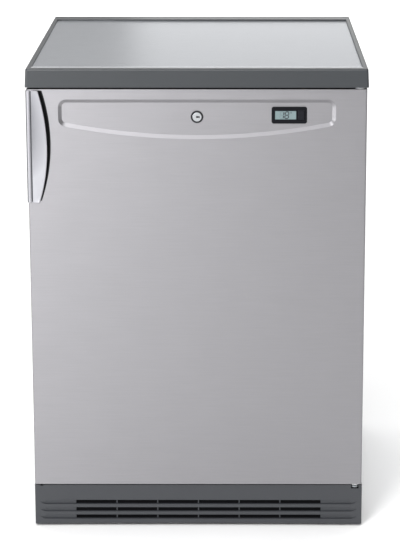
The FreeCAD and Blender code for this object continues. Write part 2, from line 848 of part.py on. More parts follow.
def door_foam():
    half = door_half - door_sheet
    body = block(-half, half, door_y + door_sheet, door_back - panel_sheet,
                 door_bottom + cap_thickness, door_top - cap_thickness)
    body = rounded(body, door_corner - door_sheet, lambda b: upright(b) and b.YMax < door_y + 2)
    body = body.fuse(bulge(panel_sheet))
    body = body.cut(recess(door_sheet)).cut(pocket_block(pocket_wall))
    body = body.cut(display_cut(0.2, display_body + 1)).cut(cam_space())
    body = body.cut(rod(lock_barrel_radius + 0.1, (0, door_y, lock_z), (0, cam_y, lock_z)))
    low_hole = hinge_hole(bush_radius, hinge_bush_length, False)
    body = body.cut(hinge_hole(bush_radius, hinge_bush_length, True))
    return body.cut(low_hole).cut(mirrored(low_hole))


def hinge_bush(top):
    """Flanged nylon bush in the door, round the hinge pin."""
    z = door_top if top else door_bottom
    out = 1 if top else -1
    barrel = rod(bush_radius, (hinge_x, hinge_y, z - out * hinge_bush_length), (hinge_x, hinge_y, z))
    flange = rod(hinge_flange_radius, (hinge_x, hinge_y, z),
                 (hinge_x, hinge_y, z + out * hinge_flange))
    bore = rod(hinge_pin_radius + running, (hinge_x, hinge_y, z - out * hinge_bush_length),
               (hinge_x, hinge_y, z + out * (hinge_flange + 1)))
    return barrel.fuse(flange).cut(bore)


def blank_plug():
    """Plug in the unused lower hinge hole on the grip side."""
    z = door_bottom
    stem = rod(bush_radius, (-hinge_x, hinge_y, z), (-hinge_x, hinge_y, z + 9))
    head = rod(hinge_flange_radius - 1, (-hinge_x, hinge_y, z - 1.6), (-hinge_x, hinge_y, z))
    return stem.fuse(head)


# ---- lock and display ------------------------------------------------------------------------------

def lock_ring():
    front = recess_floor - lock_ring_proud
    body = rod(lock_ring_radius, (0, front, lock_z), (0, recess_floor, lock_z))
    body = rounded(body, 0.8, lambda b: b.YMax < front + 0.01 and b.XLength > lock_ring_radius)
    return body.cut(rod(lock_face_radius, (0, front - 1, lock_z), (0, recess_floor + 1, lock_z)))


def lock_barrel():
    """Fixed housing with its bright face, bored for the plug."""
    front = recess_floor - lock_ring_proud
    face = rod(lock_face_radius, (0, front - 0.4, lock_z), (0, recess_floor, lock_z))
    face = rounded(face, 0.5, lambda b: b.YMax < front and b.XLength > lock_face_radius)
    barrel = rod(lock_barrel_radius, (0, recess_floor, lock_z),
                 (0, front + lock_barrel_length, lock_z))
    bore = rod(lock_plug_radius + running, (0, front - 2, lock_z), (0, cam_y, lock_z))
    return face.fuse(barrel).cut(bore)


def lock_plug():
    """Turning plug; its keyway points right when the door is unlocked."""
    front = recess_floor - lock_ring_proud - 0.4
    plug = rod(lock_plug_radius, (0, front, lock_z), (0, cam_y, lock_z))
    slot = block(0, keyway_length - 2, front - 1, front + 6, lock_z - keyway_width / 2,
                 lock_z + keyway_width / 2)
    eye = rod(keyway_width * 0.75, (0, front - 1, lock_z), (0, front + 6, lock_z))
    return plug.cut(slot.fuse(eye))


def lock_cam():
    """Long cam that rises through the door's top when the plug is turned."""
    y0, y1 = cam_y, cam_y + cam_thickness
    arm = block(0, cam_reach - cam_width / 2, y0, y1, lock_z - cam_width / 2, lock_z + cam_width / 2)
    root = rod(cam_width / 2 + 3, (0, y0, lock_z), (0, y1, lock_z))
    tip = rod(cam_width / 2, (cam_reach - cam_width / 2, y0, lock_z),
              (cam_reach - cam_width / 2, y1, lock_z))
    return fuse([arm, root, tip])


def lock_strike():
    """Angle under the worktop that the raised cam stands behind."""
    seat_z = plate_z - plate_thickness - board_thickness
    x0, x1 = -22.0, cam_reach
    lip_y = cam_y - strike_play
    lip = block(x0, x1, lip_y - 2, lip_y, fascia_z + 0.5, seat_z)
    foot = block(x0, x1, lip_y - 2, lip_y + 30, seat_z - 2, seat_z)
    return lip.fuse(foot).removeSplitter()


def bezel_block(front, back):
    body = block(display_x - display_width / 2, display_x + display_width / 2, front, back,
                 display_z - display_height / 2, display_z + display_height / 2)
    return rounded(body, display_corner, fore_and_aft)


def window_block(centre, half_x, half_z, y0, y1):
    x = display_x + centre
    return block(x - half_x, x + half_x, y0, y1, display_z - half_z, display_z + half_z)


def display_bezel():
    front = recess_floor - display_proud
    flange = bezel_block(front, recess_floor)
    flange = rounded(flange, 0.8, lambda b: b.YMax < front + 0.01)
    body = flange.fuse(display_cut(0, display_body).common(
        block(-width, width, recess_floor, door_back, 0, height)))
    lcd = window_block(lcd_offset, lcd_width / 2, lcd_height / 2, front - 1,
                       front + lcd_sink + lcd_thickness)
    button = window_block(button_offset, button_width / 2 + clear, button_height / 2 + clear,
                          front - 1, front + button_length + button_travel + 1)
    return body.cut(lcd).cut(button)


def display_lcd():
    front = recess_floor - display_proud + lcd_sink
    return window_block(lcd_offset, lcd_width / 2, lcd_height / 2, front, front + lcd_thickness)


def display_button():
    front = recess_floor - display_proud - 0.3
    key = window_block(button_offset, button_width / 2, button_height / 2, front,
                       front + button_length)
    return rounded(key, 1.0, lambda b: b.YMax < front + 0.01 or fore_and_aft(b))


# ---- plinth ----------------------------------------------------------------------------------------

def groove(top):
    """Louvre groove cutter: ramps in towards its lower edge, its ends curve up and fade out."""
    low = top - slot_height - 0.6

    def wedge(x, z, share, lean):
        tall = (slot_height + 1.2) * share
        deep = plinth_y + groove_depth * share
        rise = V(-tall * sin(lean), 0, tall * cos(lean))
        foot = V(x, 0, z)
        corners = [foot + V(0, plinth_y - 0.5, 0), foot + V(0, deep, 0), foot + rise + V(0, plinth_y, 0),
                   foot + rise + V(0, plinth_y - 0.5, 0)]
        return Part.makePolygon(corners + [corners[0]])

    straight = Part.makeLoft([wedge(-groove_half, low, 1, 0), wedge(groove_half, low, 1, 0)], True, True)
    steps = 4
    rings = []
    for n in range(steps + 1):
        lean = radians(50) * n / steps
        share = 1 - 0.85 * n / steps
        rings.append(wedge(groove_half + groove_sweep * sin(lean),
                           low + groove_sweep * (1 - cos(lean)) * 0.9, share, lean))
    end = Part.makeLoft(rings, True, False)
    return group([straight, end, mirrored(end)])


def plinth_grille():
    half = plinth_half
    low = plinth_floor_gap
    outer = block(-half, half, plinth_y, cabinet_y - clear, low, plinth_top)
    outer = rounded(outer, 2.0, lambda b: b.YMax < plinth_y + 0.01 and not b.XLength > 0.01)
    hollow = block(-half + plinth_wall, half - plinth_wall, plinth_y + plinth_wall, cabinet_y,
                   low - 1, plinth_top - 3)
    body = outer.cut(hollow)
    rise = plinth_arch
    radius = (half ** 2 + rise ** 2) / (2 * rise)
    body = body.cut(rod(radius, (0, plinth_y - 1, low + rise - radius),
                        (0, plinth_y + plinth_wall + 1, low + rise - radius)))
    for n in range(3):
        top = plinth_top - slot_drop - n * slot_pitch
        body = body.cut(groove(top))
        body = body.cut(block(-slot_half, slot_half, plinth_y - 1, plinth_y + plinth_wall + 1,
                              top - slot_height, top))
    rib_gap = slot_half * 2 / 6
    for n in range(5):
        x = -slot_half + rib_gap * (n + 1)
        body = body.fuse(block(x - 1, x + 1, plinth_y + plinth_wall - 1, plinth_y + plinth_wall + 10,
                               low + 4, plinth_top - 3))
    notch = rod(hinge_nose + 2.5, (hinge_x, hinge_y, plinth_top - 7), (hinge_x, hinge_y, plinth_top + 1))
    way = block(hinge_x - hinge_plate_width + hinge_nose, hinge_x + hinge_nose + 2.5, hinge_y,
                cabinet_y, plinth_top - 7, plinth_top + 1)
    body = body.cut(notch.fuse(way))
    plug_way = rod(hinge_flange_radius, (-hinge_x, hinge_y, plinth_top - 2),
                   (-hinge_x, hinge_y, plinth_top + 1))
    return body.cut(plug_way)


# ---- hinges ----------------------------------------------------------------------------------------

def hinge_plate_shape(z0, z1, back):
    """Flat plate with a round nose about the hinge axis."""
    nose = rod(hinge_nose, (hinge_x, hinge_y, z0), (hinge_x, hinge_y, z1))
    arm = block(hinge_x - hinge_nose, hinge_x + hinge_nose, hinge_y, cabinet_y + 1, z0, z1)
    wide = block(hinge_x + hinge_nose - hinge_plate_width, hinge_x + hinge_nose, cabinet_y - 14, back,
                 z0, z1)
    return fuse([nose, arm, wide])


def upper_bracket():
    plate = hinge_plate_shape(cabinet_top, cabinet_top + hinge_plate, cabinet_y + 60)
    return plate.cut(rod(hinge_pin_radius, (hinge_x, hinge_y, 0), (hinge_x, hinge_y, height)))


def upper_pin():
    return rod(hinge_pin_radius, (hinge_x, hinge_y, door_top - hinge_bush_length + 1),
               (hinge_x, hinge_y, cabinet_top + hinge_plate + 1))


def lower_bracket():
    z0, z1 = lower_plate_z - hinge_plate, lower_plate_z
    plate = hinge_plate_shape(z0, z1, cabinet_y + sheet)
    drop = block(hinge_x + hinge_nose - hinge_plate_width, hinge_x + hinge_nose,
                 cabinet_y + sheet - hinge_plate, cabinet_y + sheet, base_height + 6, z1)
    plate = fuse([plate, drop])
    return plate.cut(rod(hinge_pin_radius, (hinge_x, hinge_y, 0), (hinge_x, hinge_y, height)))


def lower_pin():
    return rod(hinge_pin_radius, (hinge_x, hinge_y, lower_plate_z - hinge_plate - 1.5),
               (hinge_x, hinge_y, door_bottom + hinge_bush_length - 1))


def hinge_screws():
    """Two pan heads on each hinge bracket."""
    heads = []
    for x in (hinge_x - 32, hinge_x - 6):
        heads.append(screw_head((x, cabinet_y + 38, cabinet_top + hinge_plate), (0, 0, 1)))
        heads.append(screw_head((x, cabinet_y + sheet - hinge_plate, base_height + 24), (0, -1, 0)))
    return heads


# ---- feet and rollers ------------------------------------------------------------------------------

def foot(x):
    """Adjustable foot: pad, spanner hexagon and threaded stem, screwed right in."""
    pad = rod(foot_radius, (x, foot_y, 0), (x, foot_y, foot_pad))
    pad = rounded(pad, 1.5, lambda b: b.ZLength < 0.01)
    top = base_height - clear
    corners = []
    for n in range(6):
        angle = radians(60 * n)
        corners.append((x + foot_hex / sqrt(3) * cos(angle), foot_y + foot_hex / sqrt(3) * sin(angle),
                        foot_pad))
    hexagon = prism(corners, (0, 0, top - foot_pad))
    stem = rod(stem_radius, (x, foot_y, foot_pad), (x, foot_y, top + stem_length))
    stem = rounded(stem, 1.0, lambda b: b.ZMin > top + stem_length - 0.01)
    return fuse([pad, hexagon, stem])


def weld_nuts():
    """Nuts welded to the tray over the holes for the feet."""
    z0 = base_height + tray_sheet
    nuts = []
    for x in (-foot_x, foot_x):
        body = rod(9, (x, foot_y, z0), (x, foot_y, z0 + nut_height))
        nuts.append(body.cut(rod(stem_radius + running, (x, foot_y, z0 - 1),
                                 (x, foot_y, z0 + nut_height + 1))))
    return nuts


def roller(x):
    half = roller_width / 2
    wheel = rod(roller_radius, (x - half, roller_y, roller_radius), (x + half, roller_y, roller_radius))
    wheel = rounded(wheel, 1.5, lambda b: b.XLength < 0.01)
    return wheel.cut(rod(axle_radius + running, (x - half - 1, roller_y, roller_radius),
                         (x + half + 1, roller_y, roller_radius)))


def roller_bracket(x):
    """Channel under the tray whose two ears carry the axle."""
    half = roller_width / 2 + clear
    reach = roller_radius + 3
    web = block(x - half - ear_thickness, x + half + ear_thickness, roller_y - reach, roller_y + reach,
                base_height - 1.2, base_height)
    ears = []
    for side in (-1, 1):
        x0 = x + side * (half + ear_thickness / 2) - ear_thickness / 2
        ear = block(x0, x0 + ear_thickness, roller_y - 6, roller_y + 6, roller_radius,
                    base_height)
        tip = rod(6, (x0, roller_y, roller_radius), (x0 + ear_thickness, roller_y, roller_radius))
        ears.append(ear.fuse(tip))
    body = fuse([web] + ears)
    body = body.cut(rod(roller_radius + 0.6, (x - half, roller_y, roller_radius),
                        (x + half, roller_y, roller_radius)))
    return body.cut(rod(axle_radius, (x - 2 * half, roller_y, roller_radius),
                        (x + 2 * half, roller_y, roller_radius)))


def roller_axle(x):
    half = roller_width / 2 + clear + ear_thickness + 1.5
    return rod(axle_radius, (x - half, roller_y, roller_radius), (x + half, roller_y, roller_radius))


# ---- refrigeration ---------------------------------------------------------------------------------

def condenser_tube():
    """Serpentine of level runs, inlet at the top right, outlet at the bottom."""
    points = [(tube_half + inlet_ahead, condenser_y, condenser_z - tube_stub),
              (tube_half + inlet_ahead, condenser_y, condenser_z + tube_pitch * (tube_runs - 1))]
    for n in range(tube_runs):
        z = condenser_z + tube_pitch * (tube_runs - 1 - n)
        side = -1 if n % 2 == 0 else 1
        points.append((side * tube_half, condenser_y, z))
        if n < tube_runs - 1:
            points.append((side * tube_half, condenser_y, z - tube_pitch))
    points.append((-tube_half, condenser_y, condenser_z - tube_stub))
    return bent_rod(tube_radius, points, 11)


def condenser_wires():
    """Upright wires on both faces of the serpentine."""
    low, high = condenser_z - 12, condenser_z + tube_pitch * (tube_runs - 1) + 12
    step = 2 * (tube_half - 24) / (wire_count / 2 - 1)
    wires = []
    for n in range(wire_count // 2):
        x = -tube_half + 24 + step * n
        for side in (-1, 1):
            y = condenser_y + side * (tube_radius + wire_radius)
            wires.append(rod(wire_radius, (x, y, low), (x, y, high)))
    return group(wires)


def condenser_brackets():
    """Clips that hold the serpentine off the rear panel."""
    clips = []
    for row in bracket_rows:
        z = condenser_z + tube_pitch * row
        for x in (-tube_half - 6, tube_half + 6):
            side = 1 if x > 0 else -1
            foot = block(x - 14, x + 14, cabinet_back, cabinet_back + 2, z - bracket_half,
                         z + bracket_half)
            arm = block(x - side * 12 - 2, x - side * 12 + 2, cabinet_back,
                        condenser_y - tube_radius - 2 * wire_radius, z - bracket_half,
                        z + bracket_half)
            clips.append(foot.fuse(arm))
    return group(clips)


def rear_screws():
    """Pan heads along the rear panel's edges and on the condenser's clips."""
    heads = []
    for x in (-cabinet_half + 14, cabinet_half - 14):
        for share in (0.03, 0.35, 0.66, 0.97):
            z = bay_height + (cabinet_top - bay_height) * share
            heads.append(screw_head((x, cabinet_back, z), (0, 1, 0)))
    for row in bracket_rows:
        z = condenser_z + tube_pitch * row
        for x in (-tube_half - 12, tube_half + 12):
            heads.append(screw_head((x, cabinet_back + 2, z), (0, 1, 0)))
    return heads


def compressor_shell():
    """Two pressed halves with a weld flange, and the three stubs."""
    x, y, z = can_x, can_y, can_low
    can = rod(can_radius, (x, y, z), (x, y, z + can_height))
    can = rounded(can, can_radius * 0.38, lambda b: b.ZLength < 0.01 and b.ZMin > z + 1)
    can = rounded(can, can_radius * 0.25, lambda b: b.ZLength < 0.01 and b.ZMax < z + 0.01)
    weld = rod(can_radius + can_weld, (x, y, z + 62), (x, y, z + 67))
    stubs = [rod(4.5, (x - can_radius - stub_length, y + dy, z + dz),
                 (x - can_radius / 2, y + dy, z + dz))
             for dy, dz in ((-stub_aside, upper_stub), (0, lower_stub), (stub_aside, upper_stub))]
    return fuse([can, weld] + stubs)


def compressor_corners():
    return [(can_x + sx * (can_plate_x - can_corner), can_y + sy * (can_plate_y - can_corner))
            for sx in (-1, 1) for sy in (-1, 1)]


def compressor_base():
    plate = rounded_block(can_x - can_plate_x, can_x + can_plate_x, can_y - can_plate_y,
                          can_y + can_plate_y, can_z, can_low, 12)
    for x, y in compressor_corners():
        plate = plate.cut(rod(8, (x, y, can_z - 1), (x, y, can_z + 4)))
    return plate


def compressor_grommets():
    parts = []
    for x, y in compressor_corners():
        low = base_height + tray_sheet
        body = fuse([rod(13, (x, y, low), (x, y, can_z)), rod(8, (x, y, can_z), (x, y, can_low)),
                     rod(11, (x, y, can_low), (x, y, can_low + 4))])
        parts.append(body.cut(rod(4, (x, y, low - 1), (x, y, can_z + 8))))
    return group(parts)


def compressor_bolts():
    bolts = []
    for x, y in compressor_corners():
        low, high = base_height + tray_sheet, can_low + 4
        shank = rod(3, (x, y, low), (x, y, high))
        head = rod(7, (x, y, high), (x, y, high + 4))
        bolts.append(shank.fuse(head))
    return group(bolts)


def relay_box():
    """Terminal box beside the compressor, bored for the cable gland."""
    body = block(relay_x - 28, relay_x + 22, can_y + 28, relay_face, can_z + 24, can_z + 92)
    return rounded(body, 4, lambda b: b.ZLength > 60 or fore_and_aft(b))


def cable_gland():
    """Hexagonal gland where a mains lead would leave the terminal box."""
    x, y, z = relay_x - 3, relay_face, can_z + 44
    corners = [(x + 9 * cos(radians(60 * n)), y, z + 9 * sin(radians(60 * n))) for n in range(6)]
    nut = prism(corners, (0, 6, 0))
    nose = rod(6.5, (x, y + 6, z), (x, y + 14, z))
    nose = rounded(nose, 2, lambda b: b.YMin > y + 13.9 and b.XLength > 6)
    return nut.fuse(nose).cut(rod(4, (x, y, z), (x, y + 16, z)))


def filter_drier():
    """Copper can with a cone at each end."""
    x, y, cone = drier_x, drier_y, 10
    return fuse([rod(9, (x, y, drier_low + cone), (x, y, drier_high - cone)),
                 Part.makeCone(tube_radius, 9, cone, V(x, y, drier_low), V(0, 0, 1)),
                 Part.makeCone(9, tube_radius, cone, V(x, y, drier_high - cone), V(0, 0, 1))])


def drier_pipe():
    """Condenser outlet down to the drier."""
    level = drier_high + 26
    return bent_rod(tube_radius, [(-tube_half, condenser_y, condenser_z - tube_stub),
                                  (-tube_half, condenser_y, level), (drier_x, drier_y + 26, level),
                                  (drier_x, drier_y, level), (drier_x, drier_y, drier_high)], 9)


def capillary_tube():
    """Thin tube from the drier, round a flat coil and up through the bay's ceiling."""
    x, near = drier_x, drier_y - 22
    far, aside = near - 2 * coil_radius, x - 16
    low, coil_z, lay = drier_low - 16, drier_low + 10, 2.5 * capillary_radius
    turns = [Part.makeTorus(coil_radius, capillary_radius,
                            V(x, near - coil_radius, coil_z + lay * n), V(0, 0, 1))
             for n in range(4)]
    lead = bent_rod(capillary_radius, [(x, drier_y, drier_low), (x, drier_y, low), (x, near, low),
                                       (x, near, coil_z)], 5)
    rise = bent_rod(capillary_radius, [(x, far, coil_z + 3 * lay), (x, far, drier_low + 72),
                                       (aside, far, drier_low + 88),
                                       (aside, far, bay_height - sheet)], 5)
    return fuse([lead] + turns[:1]), group(turns[1:] + [rise])


def suction_pipe():
    """Return from the evaporator, out of the bay's ceiling to the can's upper stub."""
    x, y, z = can_x - can_radius - stub_length, can_y - stub_aside, can_low + upper_stub
    return bent_rod(4, [(x, y, z), (x - 24, y, z), (x - 24, y, bay_height - sheet)], 12)


def discharge_pipe():
    """From the can's other stub round the back to the condenser's inlet."""
    x, y, z = can_x - can_radius - stub_length, can_y, can_low + lower_stub
    turn, ahead, inlet = x - 16, can_y - can_radius - 6, tube_half + inlet_ahead
    low = base_height + tray_sheet + 30.5
    return bent_rod(tube_radius, [(x, y, z), (turn, y, z), (turn, y, low), (turn, ahead, low),
                                  (inlet, ahead, low), (inlet, condenser_y, low),
                                  (inlet, condenser_y, condenser_z - tube_stub)], 8)


def evaporation_tray():
    """Dish on top of the compressor that dries off the defrost water."""
    low = can_low + can_height + 1
    half_x, half_y, tall = 92.0, 62.0, 24.0
    body = rounded_block(can_x - half_x, can_x + half_x, can_y - half_y, can_y + half_y,
                         low, low + tall, 14)
    inner = rounded_block(can_x - half_x + 2, can_x + half_x - 2, can_y - half_y + 2,
                          can_y + half_y - 2, low + 2, low + tall + 1, 12)
    return body.cut(inner)


def drain_spout():
    """Short pipe from the bay's ceiling into the dish."""
    x, y = can_x + 40, can_y + 20
    z = bay_height - sheet
    pipe = fuse([rod(7, (x, y, z - 14), (x, y, z)), rod(11, (x, y, z - 3), (x, y, z))])
    return pipe.cut(rod(5, (x, y, z - 15), (x, y, z - 2)))


# ---- all nodes -------------------------------------------------------------------------------------

def all_parts():
    left, right = side_panel()
    lead, coil = capillary_tube()
    parts = {
        "worktop_frame": worktop_frame(),
        "worktop_board": worktop_board(),
        "worktop_panel": worktop_panel(),
        "side_panel_left": left,
        "side_panel_right": right,
        "top_panel": top_panel(),
        "rear_panel": rear_panel(),
        "bottom_panel": bottom_panel(),
        "face_frame": face_frame(),
        "insulation_foam": insulation_foam(),
        "inner_liner": inner_liner(),
        "base_tray": base_tray(),
        "plinth_grille": plinth_grille(),
        "upper_hinge_bracket": upper_bracket(),
        "lower_hinge_bracket": lower_bracket(),
        "hinge_pins": group([upper_pin(), lower_pin()]),
        "panel_screws": group(hinge_screws() + rear_screws()),
        "lock_strike": lock_strike(),
        "evaporator_plate": evaporator_plate(),
        "thermostat_housing": thermostat_housing(),
        "condenser_tube": condenser_tube(),
        "condenser_wires": condenser_wires(),
        "condenser_brackets": condenser_brackets(),
        "compressor_shell": compressor_shell(),
        "compressor_base": compressor_base(),
        "compressor_grommets": compressor_grommets(),
        "compressor_bolts": compressor_bolts(),
        "relay_box": relay_box(),
        "cable_gland": cable_gland(),
        "filter_drier": filter_drier(),
        "capillary_tube": group([lead, coil]),
        "refrigerant_pipes": group([suction_pipe(), discharge_pipe(), drier_pipe()]),
        "evaporation_tray": evaporation_tray(),
        "drain_spout": drain_spout(),
        "roller_brackets": group([roller_bracket(-foot_x), roller_bracket(foot_x)]),
        "roller_axles": group([roller_axle(-foot_x), roller_axle(foot_x)]),
        "foot_left": foot(-foot_x),
        "foot_right": foot(foot_x),
        "roller_left": roller(-foot_x),
        "roller_right": roller(foot_x),
        "thermostat_knob": thermostat_knob(),
        "door_skin": door_skin(),
        "door_foam": door_foam(),
        "door_liner": door_liner(),
        "door_top_cap": door_cap(True),
        "door_bottom_cap": door_cap(False),
        "door_gasket": door_gasket(),
        "door_fittings": group([hinge_bush(True), hinge_bush(False), blank_plug()]),
        "handle_grip": handle_grip(),
        "handle_pocket": handle_pocket(),
        "display_bezel": display_bezel(),
        "display_lcd": display_lcd(),
        "display_button": display_button(),
        "lock_ring": lock_ring(),
        "lock_barrel": lock_barrel(),
        "lock_plug": lock_plug(),
        "lock_cam": lock_cam(),
    }
    for number, seat in enumerate(shelf_seats, 1):
        parts["shelf_%d" % number] = shelf(seat)
    return parts


def main():
    os.makedirs("parts", exist_ok=True)
    parts = all_parts()
    for name, shape in parts.items():
        shape.exportStep("parts/%s.step" % name)
        box = shape.BoundBox
        print("%-22s %s solids %d  x %.1f..%.1f  y %.1f..%.1f  z %.1f..%.1f  %.0f cm3" % (
            name, "ok " if shape.isValid() else "BAD", len(shape.Solids), box.XMin, box.XMax,
            box.YMin, box.YMax, box.ZMin, box.ZMax, shape.Volume / 1000))


main()
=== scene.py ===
"""Looks of a free-standing undercounter refrigerator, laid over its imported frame.

Metres, in the frame's own axes: the door faces -Y, Z points up and the origin is on the floor.
"""
import math

import bmesh
import bpy
from mathutils import Euler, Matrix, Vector


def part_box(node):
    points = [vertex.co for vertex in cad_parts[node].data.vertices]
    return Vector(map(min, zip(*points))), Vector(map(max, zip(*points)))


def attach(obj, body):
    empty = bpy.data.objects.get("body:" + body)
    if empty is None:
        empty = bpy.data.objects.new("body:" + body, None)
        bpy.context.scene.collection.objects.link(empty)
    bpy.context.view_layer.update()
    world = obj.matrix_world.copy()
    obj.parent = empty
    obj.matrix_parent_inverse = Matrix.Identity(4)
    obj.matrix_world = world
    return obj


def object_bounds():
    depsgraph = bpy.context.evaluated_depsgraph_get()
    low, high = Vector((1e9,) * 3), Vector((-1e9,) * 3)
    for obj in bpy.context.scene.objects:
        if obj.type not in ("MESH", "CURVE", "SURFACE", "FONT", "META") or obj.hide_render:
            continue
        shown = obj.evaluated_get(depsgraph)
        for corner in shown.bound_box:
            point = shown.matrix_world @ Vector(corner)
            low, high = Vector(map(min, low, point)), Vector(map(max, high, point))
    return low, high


bl_info = {
    "name": "Undercounter refrigerator",
    "version": (1, 0, 0),
    "blender": (4, 5, 0),
    "location": "View3D > Sidebar > Refrigerator",
    "description": "Finishes, display digits and studio for a packed undercounter refrigerator",
    "category": "Object",
}

MM = 0.001

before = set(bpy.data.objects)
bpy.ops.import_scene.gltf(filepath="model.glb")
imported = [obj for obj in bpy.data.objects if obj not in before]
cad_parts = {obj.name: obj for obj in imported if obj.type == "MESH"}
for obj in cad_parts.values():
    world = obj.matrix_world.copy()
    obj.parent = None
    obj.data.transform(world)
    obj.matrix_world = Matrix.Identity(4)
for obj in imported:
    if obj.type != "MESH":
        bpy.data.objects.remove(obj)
cad_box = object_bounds()


def linear(code):
    """sRGB hex to linear RGBA."""
    out = []
    for place in (1, 3, 5):
        share = int(code[place:place + 2], 16) / 255
        out.append(share / 12.92 if share <= 0.04045 else ((share + 0.055) / 1.055) ** 2.4)
    return (*out, 1.0)


# ---- settings -----------------------------------------------------------------------------------

def colour_property(name, description, code):
    return bpy.props.FloatVectorProperty(
        name=name, description=description, subtype="COLOR", size=4, min=0, max=1,
        default=linear(code))


class RefrigeratorFinish(bpy.types.PropertyGroup):
    """Colours and surface sizes of the machine's finishes."""

    abs_grey: colour_property("Frame grey", "Moulded ABS of the worktop's frame", "#2d3033")
    plinth_grey: colour_property("Plinth grey", "Moulded ABS of the plinth", "#303236")
    door_steel: colour_property("Door steel", "Brushed steel of the door", "#8f8e91")
    worktop_steel: colour_property("Worktop steel", "Brushed steel of the worktop", "#a8abb0")
    silver_paint: colour_property("Silver lacquer", "Lacquer on the moulded grip", "#a2a2a7")
    cabinet_paint: colour_property("Cabinet paint", "Coil coating of the outer panels", "#b1b3b6")
    white_hips: colour_property("Liner white", "Thermoformed polystyrene of the liners", "#eceeee")
    black_abs: colour_property("Black plastic", "Moulded black parts", "#0d0e12")
    lcd_tint: colour_property("Display tint", "Reflector behind the liquid crystal", "#657678")
    segment: colour_property("Segment", "Dark display segments", "#0c151c")
    brush_length: bpy.props.FloatProperty(
        name="Brush length", description="Length of a brushed scratch", default=0.06,
        unit="LENGTH")
    brush_pitch: bpy.props.FloatProperty(
        name="Brush pitch", description="Spacing of brushed scratches, as coarse as they show",
        default=0.0009, unit="LENGTH")
    spark_grain: bpy.props.FloatProperty(
        name="Spark grain", description="Grain of spark-eroded moulds", default=0.0011,
        unit="LENGTH")


class RefrigeratorDisplay(bpy.types.PropertyGroup):
    """The temperature display's figures."""

    reading: bpy.props.IntProperty(
        name="Reading", description="Number shown", default=18, min=0, max=99)
    digit_height: bpy.props.FloatProperty(
        name="Digit height", description="Height of a figure", default=0.0118, unit="LENGTH")
    stroke: bpy.props.FloatProperty(
        name="Stroke", description="Width of a segment", default=0.0018, unit="LENGTH")
    lean: bpy.props.FloatProperty(
        name="Lean", description="Slant of the figures", default=math.radians(6),
        subtype="ANGLE")


class RefrigeratorStudio(bpy.types.PropertyGroup):
    """The camera's place, aim, lens and shift."""

    camera_distance: bpy.props.FloatProperty(
        name="Camera distance", description="In front of the worktop's fascia", default=3.56,
        unit="LENGTH")
    camera_side: bpy.props.FloatProperty(
        name="Camera side", description="Right of the middle plane", default=0.064, unit="LENGTH")
    camera_height: bpy.props.FloatProperty(
        name="Camera height", description="Above the floor", default=1.462, unit="LENGTH")
    camera_pitch: bpy.props.FloatProperty(
        name="Camera pitch", description="Below the horizon", default=math.radians(13.127),
        subtype="ANGLE")
    camera_yaw: bpy.props.FloatProperty(
        name="Camera yaw", description="About the upright", default=math.radians(0.114),
        subtype="ANGLE")
    lens: bpy.props.FloatProperty(
        name="Lens", description="Focal length", default=136.74, subtype="DISTANCE_CAMERA")
    shift_x: bpy.props.FloatProperty(
        name="Shift X", description="Sideways shift of the lens", default=-0.054)
    shift_y: bpy.props.FloatProperty(
        name="Shift Y", description="Upward shift of the lens", default=-0.15)


def finish_of():
    return bpy.context.scene.refrigerator_finish


# ---- material building --------------------------------------------------------------------------

PATTERN_LOW, PATTERN_HIGH = 0.3, 0.7  # the part of a pattern's range that colour and gloss follow


def add_node(tree, kind, settings=None, inputs=None):
    """One shader node with its settings, and its inputs set to values or linked to sockets."""
    made = tree.nodes.new(kind)
    for name, value in (settings or {}).items():
        setattr(made, name, value)
    for name, value in (inputs or {}).items():
        if isinstance(value, bpy.types.NodeSocket):
            tree.links.new(value, made.inputs[name])
        else:
            made.inputs[name].default_value = value
    return made


def around(colour, share):
    """A colour made darker and lighter by a share."""
    return [(*[min(1.0, part * factor) for part in colour[:3]], 1.0)
            for factor in (1 - share, 1 + share)]


def patterned(name, colours, roughness, size, relief=0.0, metallic=0.0, stretch=(1, 1, 1),
              detail=2.0, pattern="ShaderNodeTexNoise", **sockets):
    """A material whose colour, roughness and relief follow one pattern of a size in metres."""
    material = bpy.data.materials.new(name)
    material.use_nodes = True
    tree = material.node_tree
    shader = tree.nodes["Principled BSDF"]
    shader.inputs["Metallic"].default_value = metallic
    for socket, value in sockets.items():
        shader.inputs[socket.replace("_", " ")].default_value = value
    place = add_node(tree, "ShaderNodeTexCoord")
    scaled = add_node(tree, "ShaderNodeMapping", {},
                      {"Vector": place.outputs["Object"],
                       "Scale": tuple(1 / (size * part) for part in stretch)})
    texture = add_node(tree, pattern, {}, {"Vector": scaled.outputs["Vector"], "Scale": 1.0,
                                           "Detail": detail})
    source = texture.outputs[0]
    ramp = add_node(tree, "ShaderNodeValToRGB", {}, {"Fac": source})
    for element, position, colour in zip(ramp.color_ramp.elements, (PATTERN_LOW, PATTERN_HIGH),
                                         colours):
        element.position, element.color = position, colour
    spread = add_node(tree, "ShaderNodeMapRange", {},
                      {"Value": source, "From Min": PATTERN_LOW, "From Max": PATTERN_HIGH,
                       "To Min": roughness[0], "To Max": roughness[1]})
    raised = add_node(tree, "ShaderNodeBump", {}, {"Height": source, "Distance": relief})
    tree.links.new(ramp.outputs["Color"], shader.inputs["Base Color"])
    tree.links.new(spread.outputs["Result"], shader.inputs["Roughness"])
    tree.links.new(raised.outputs["Normal"], shader.inputs["Normal"])
    return material


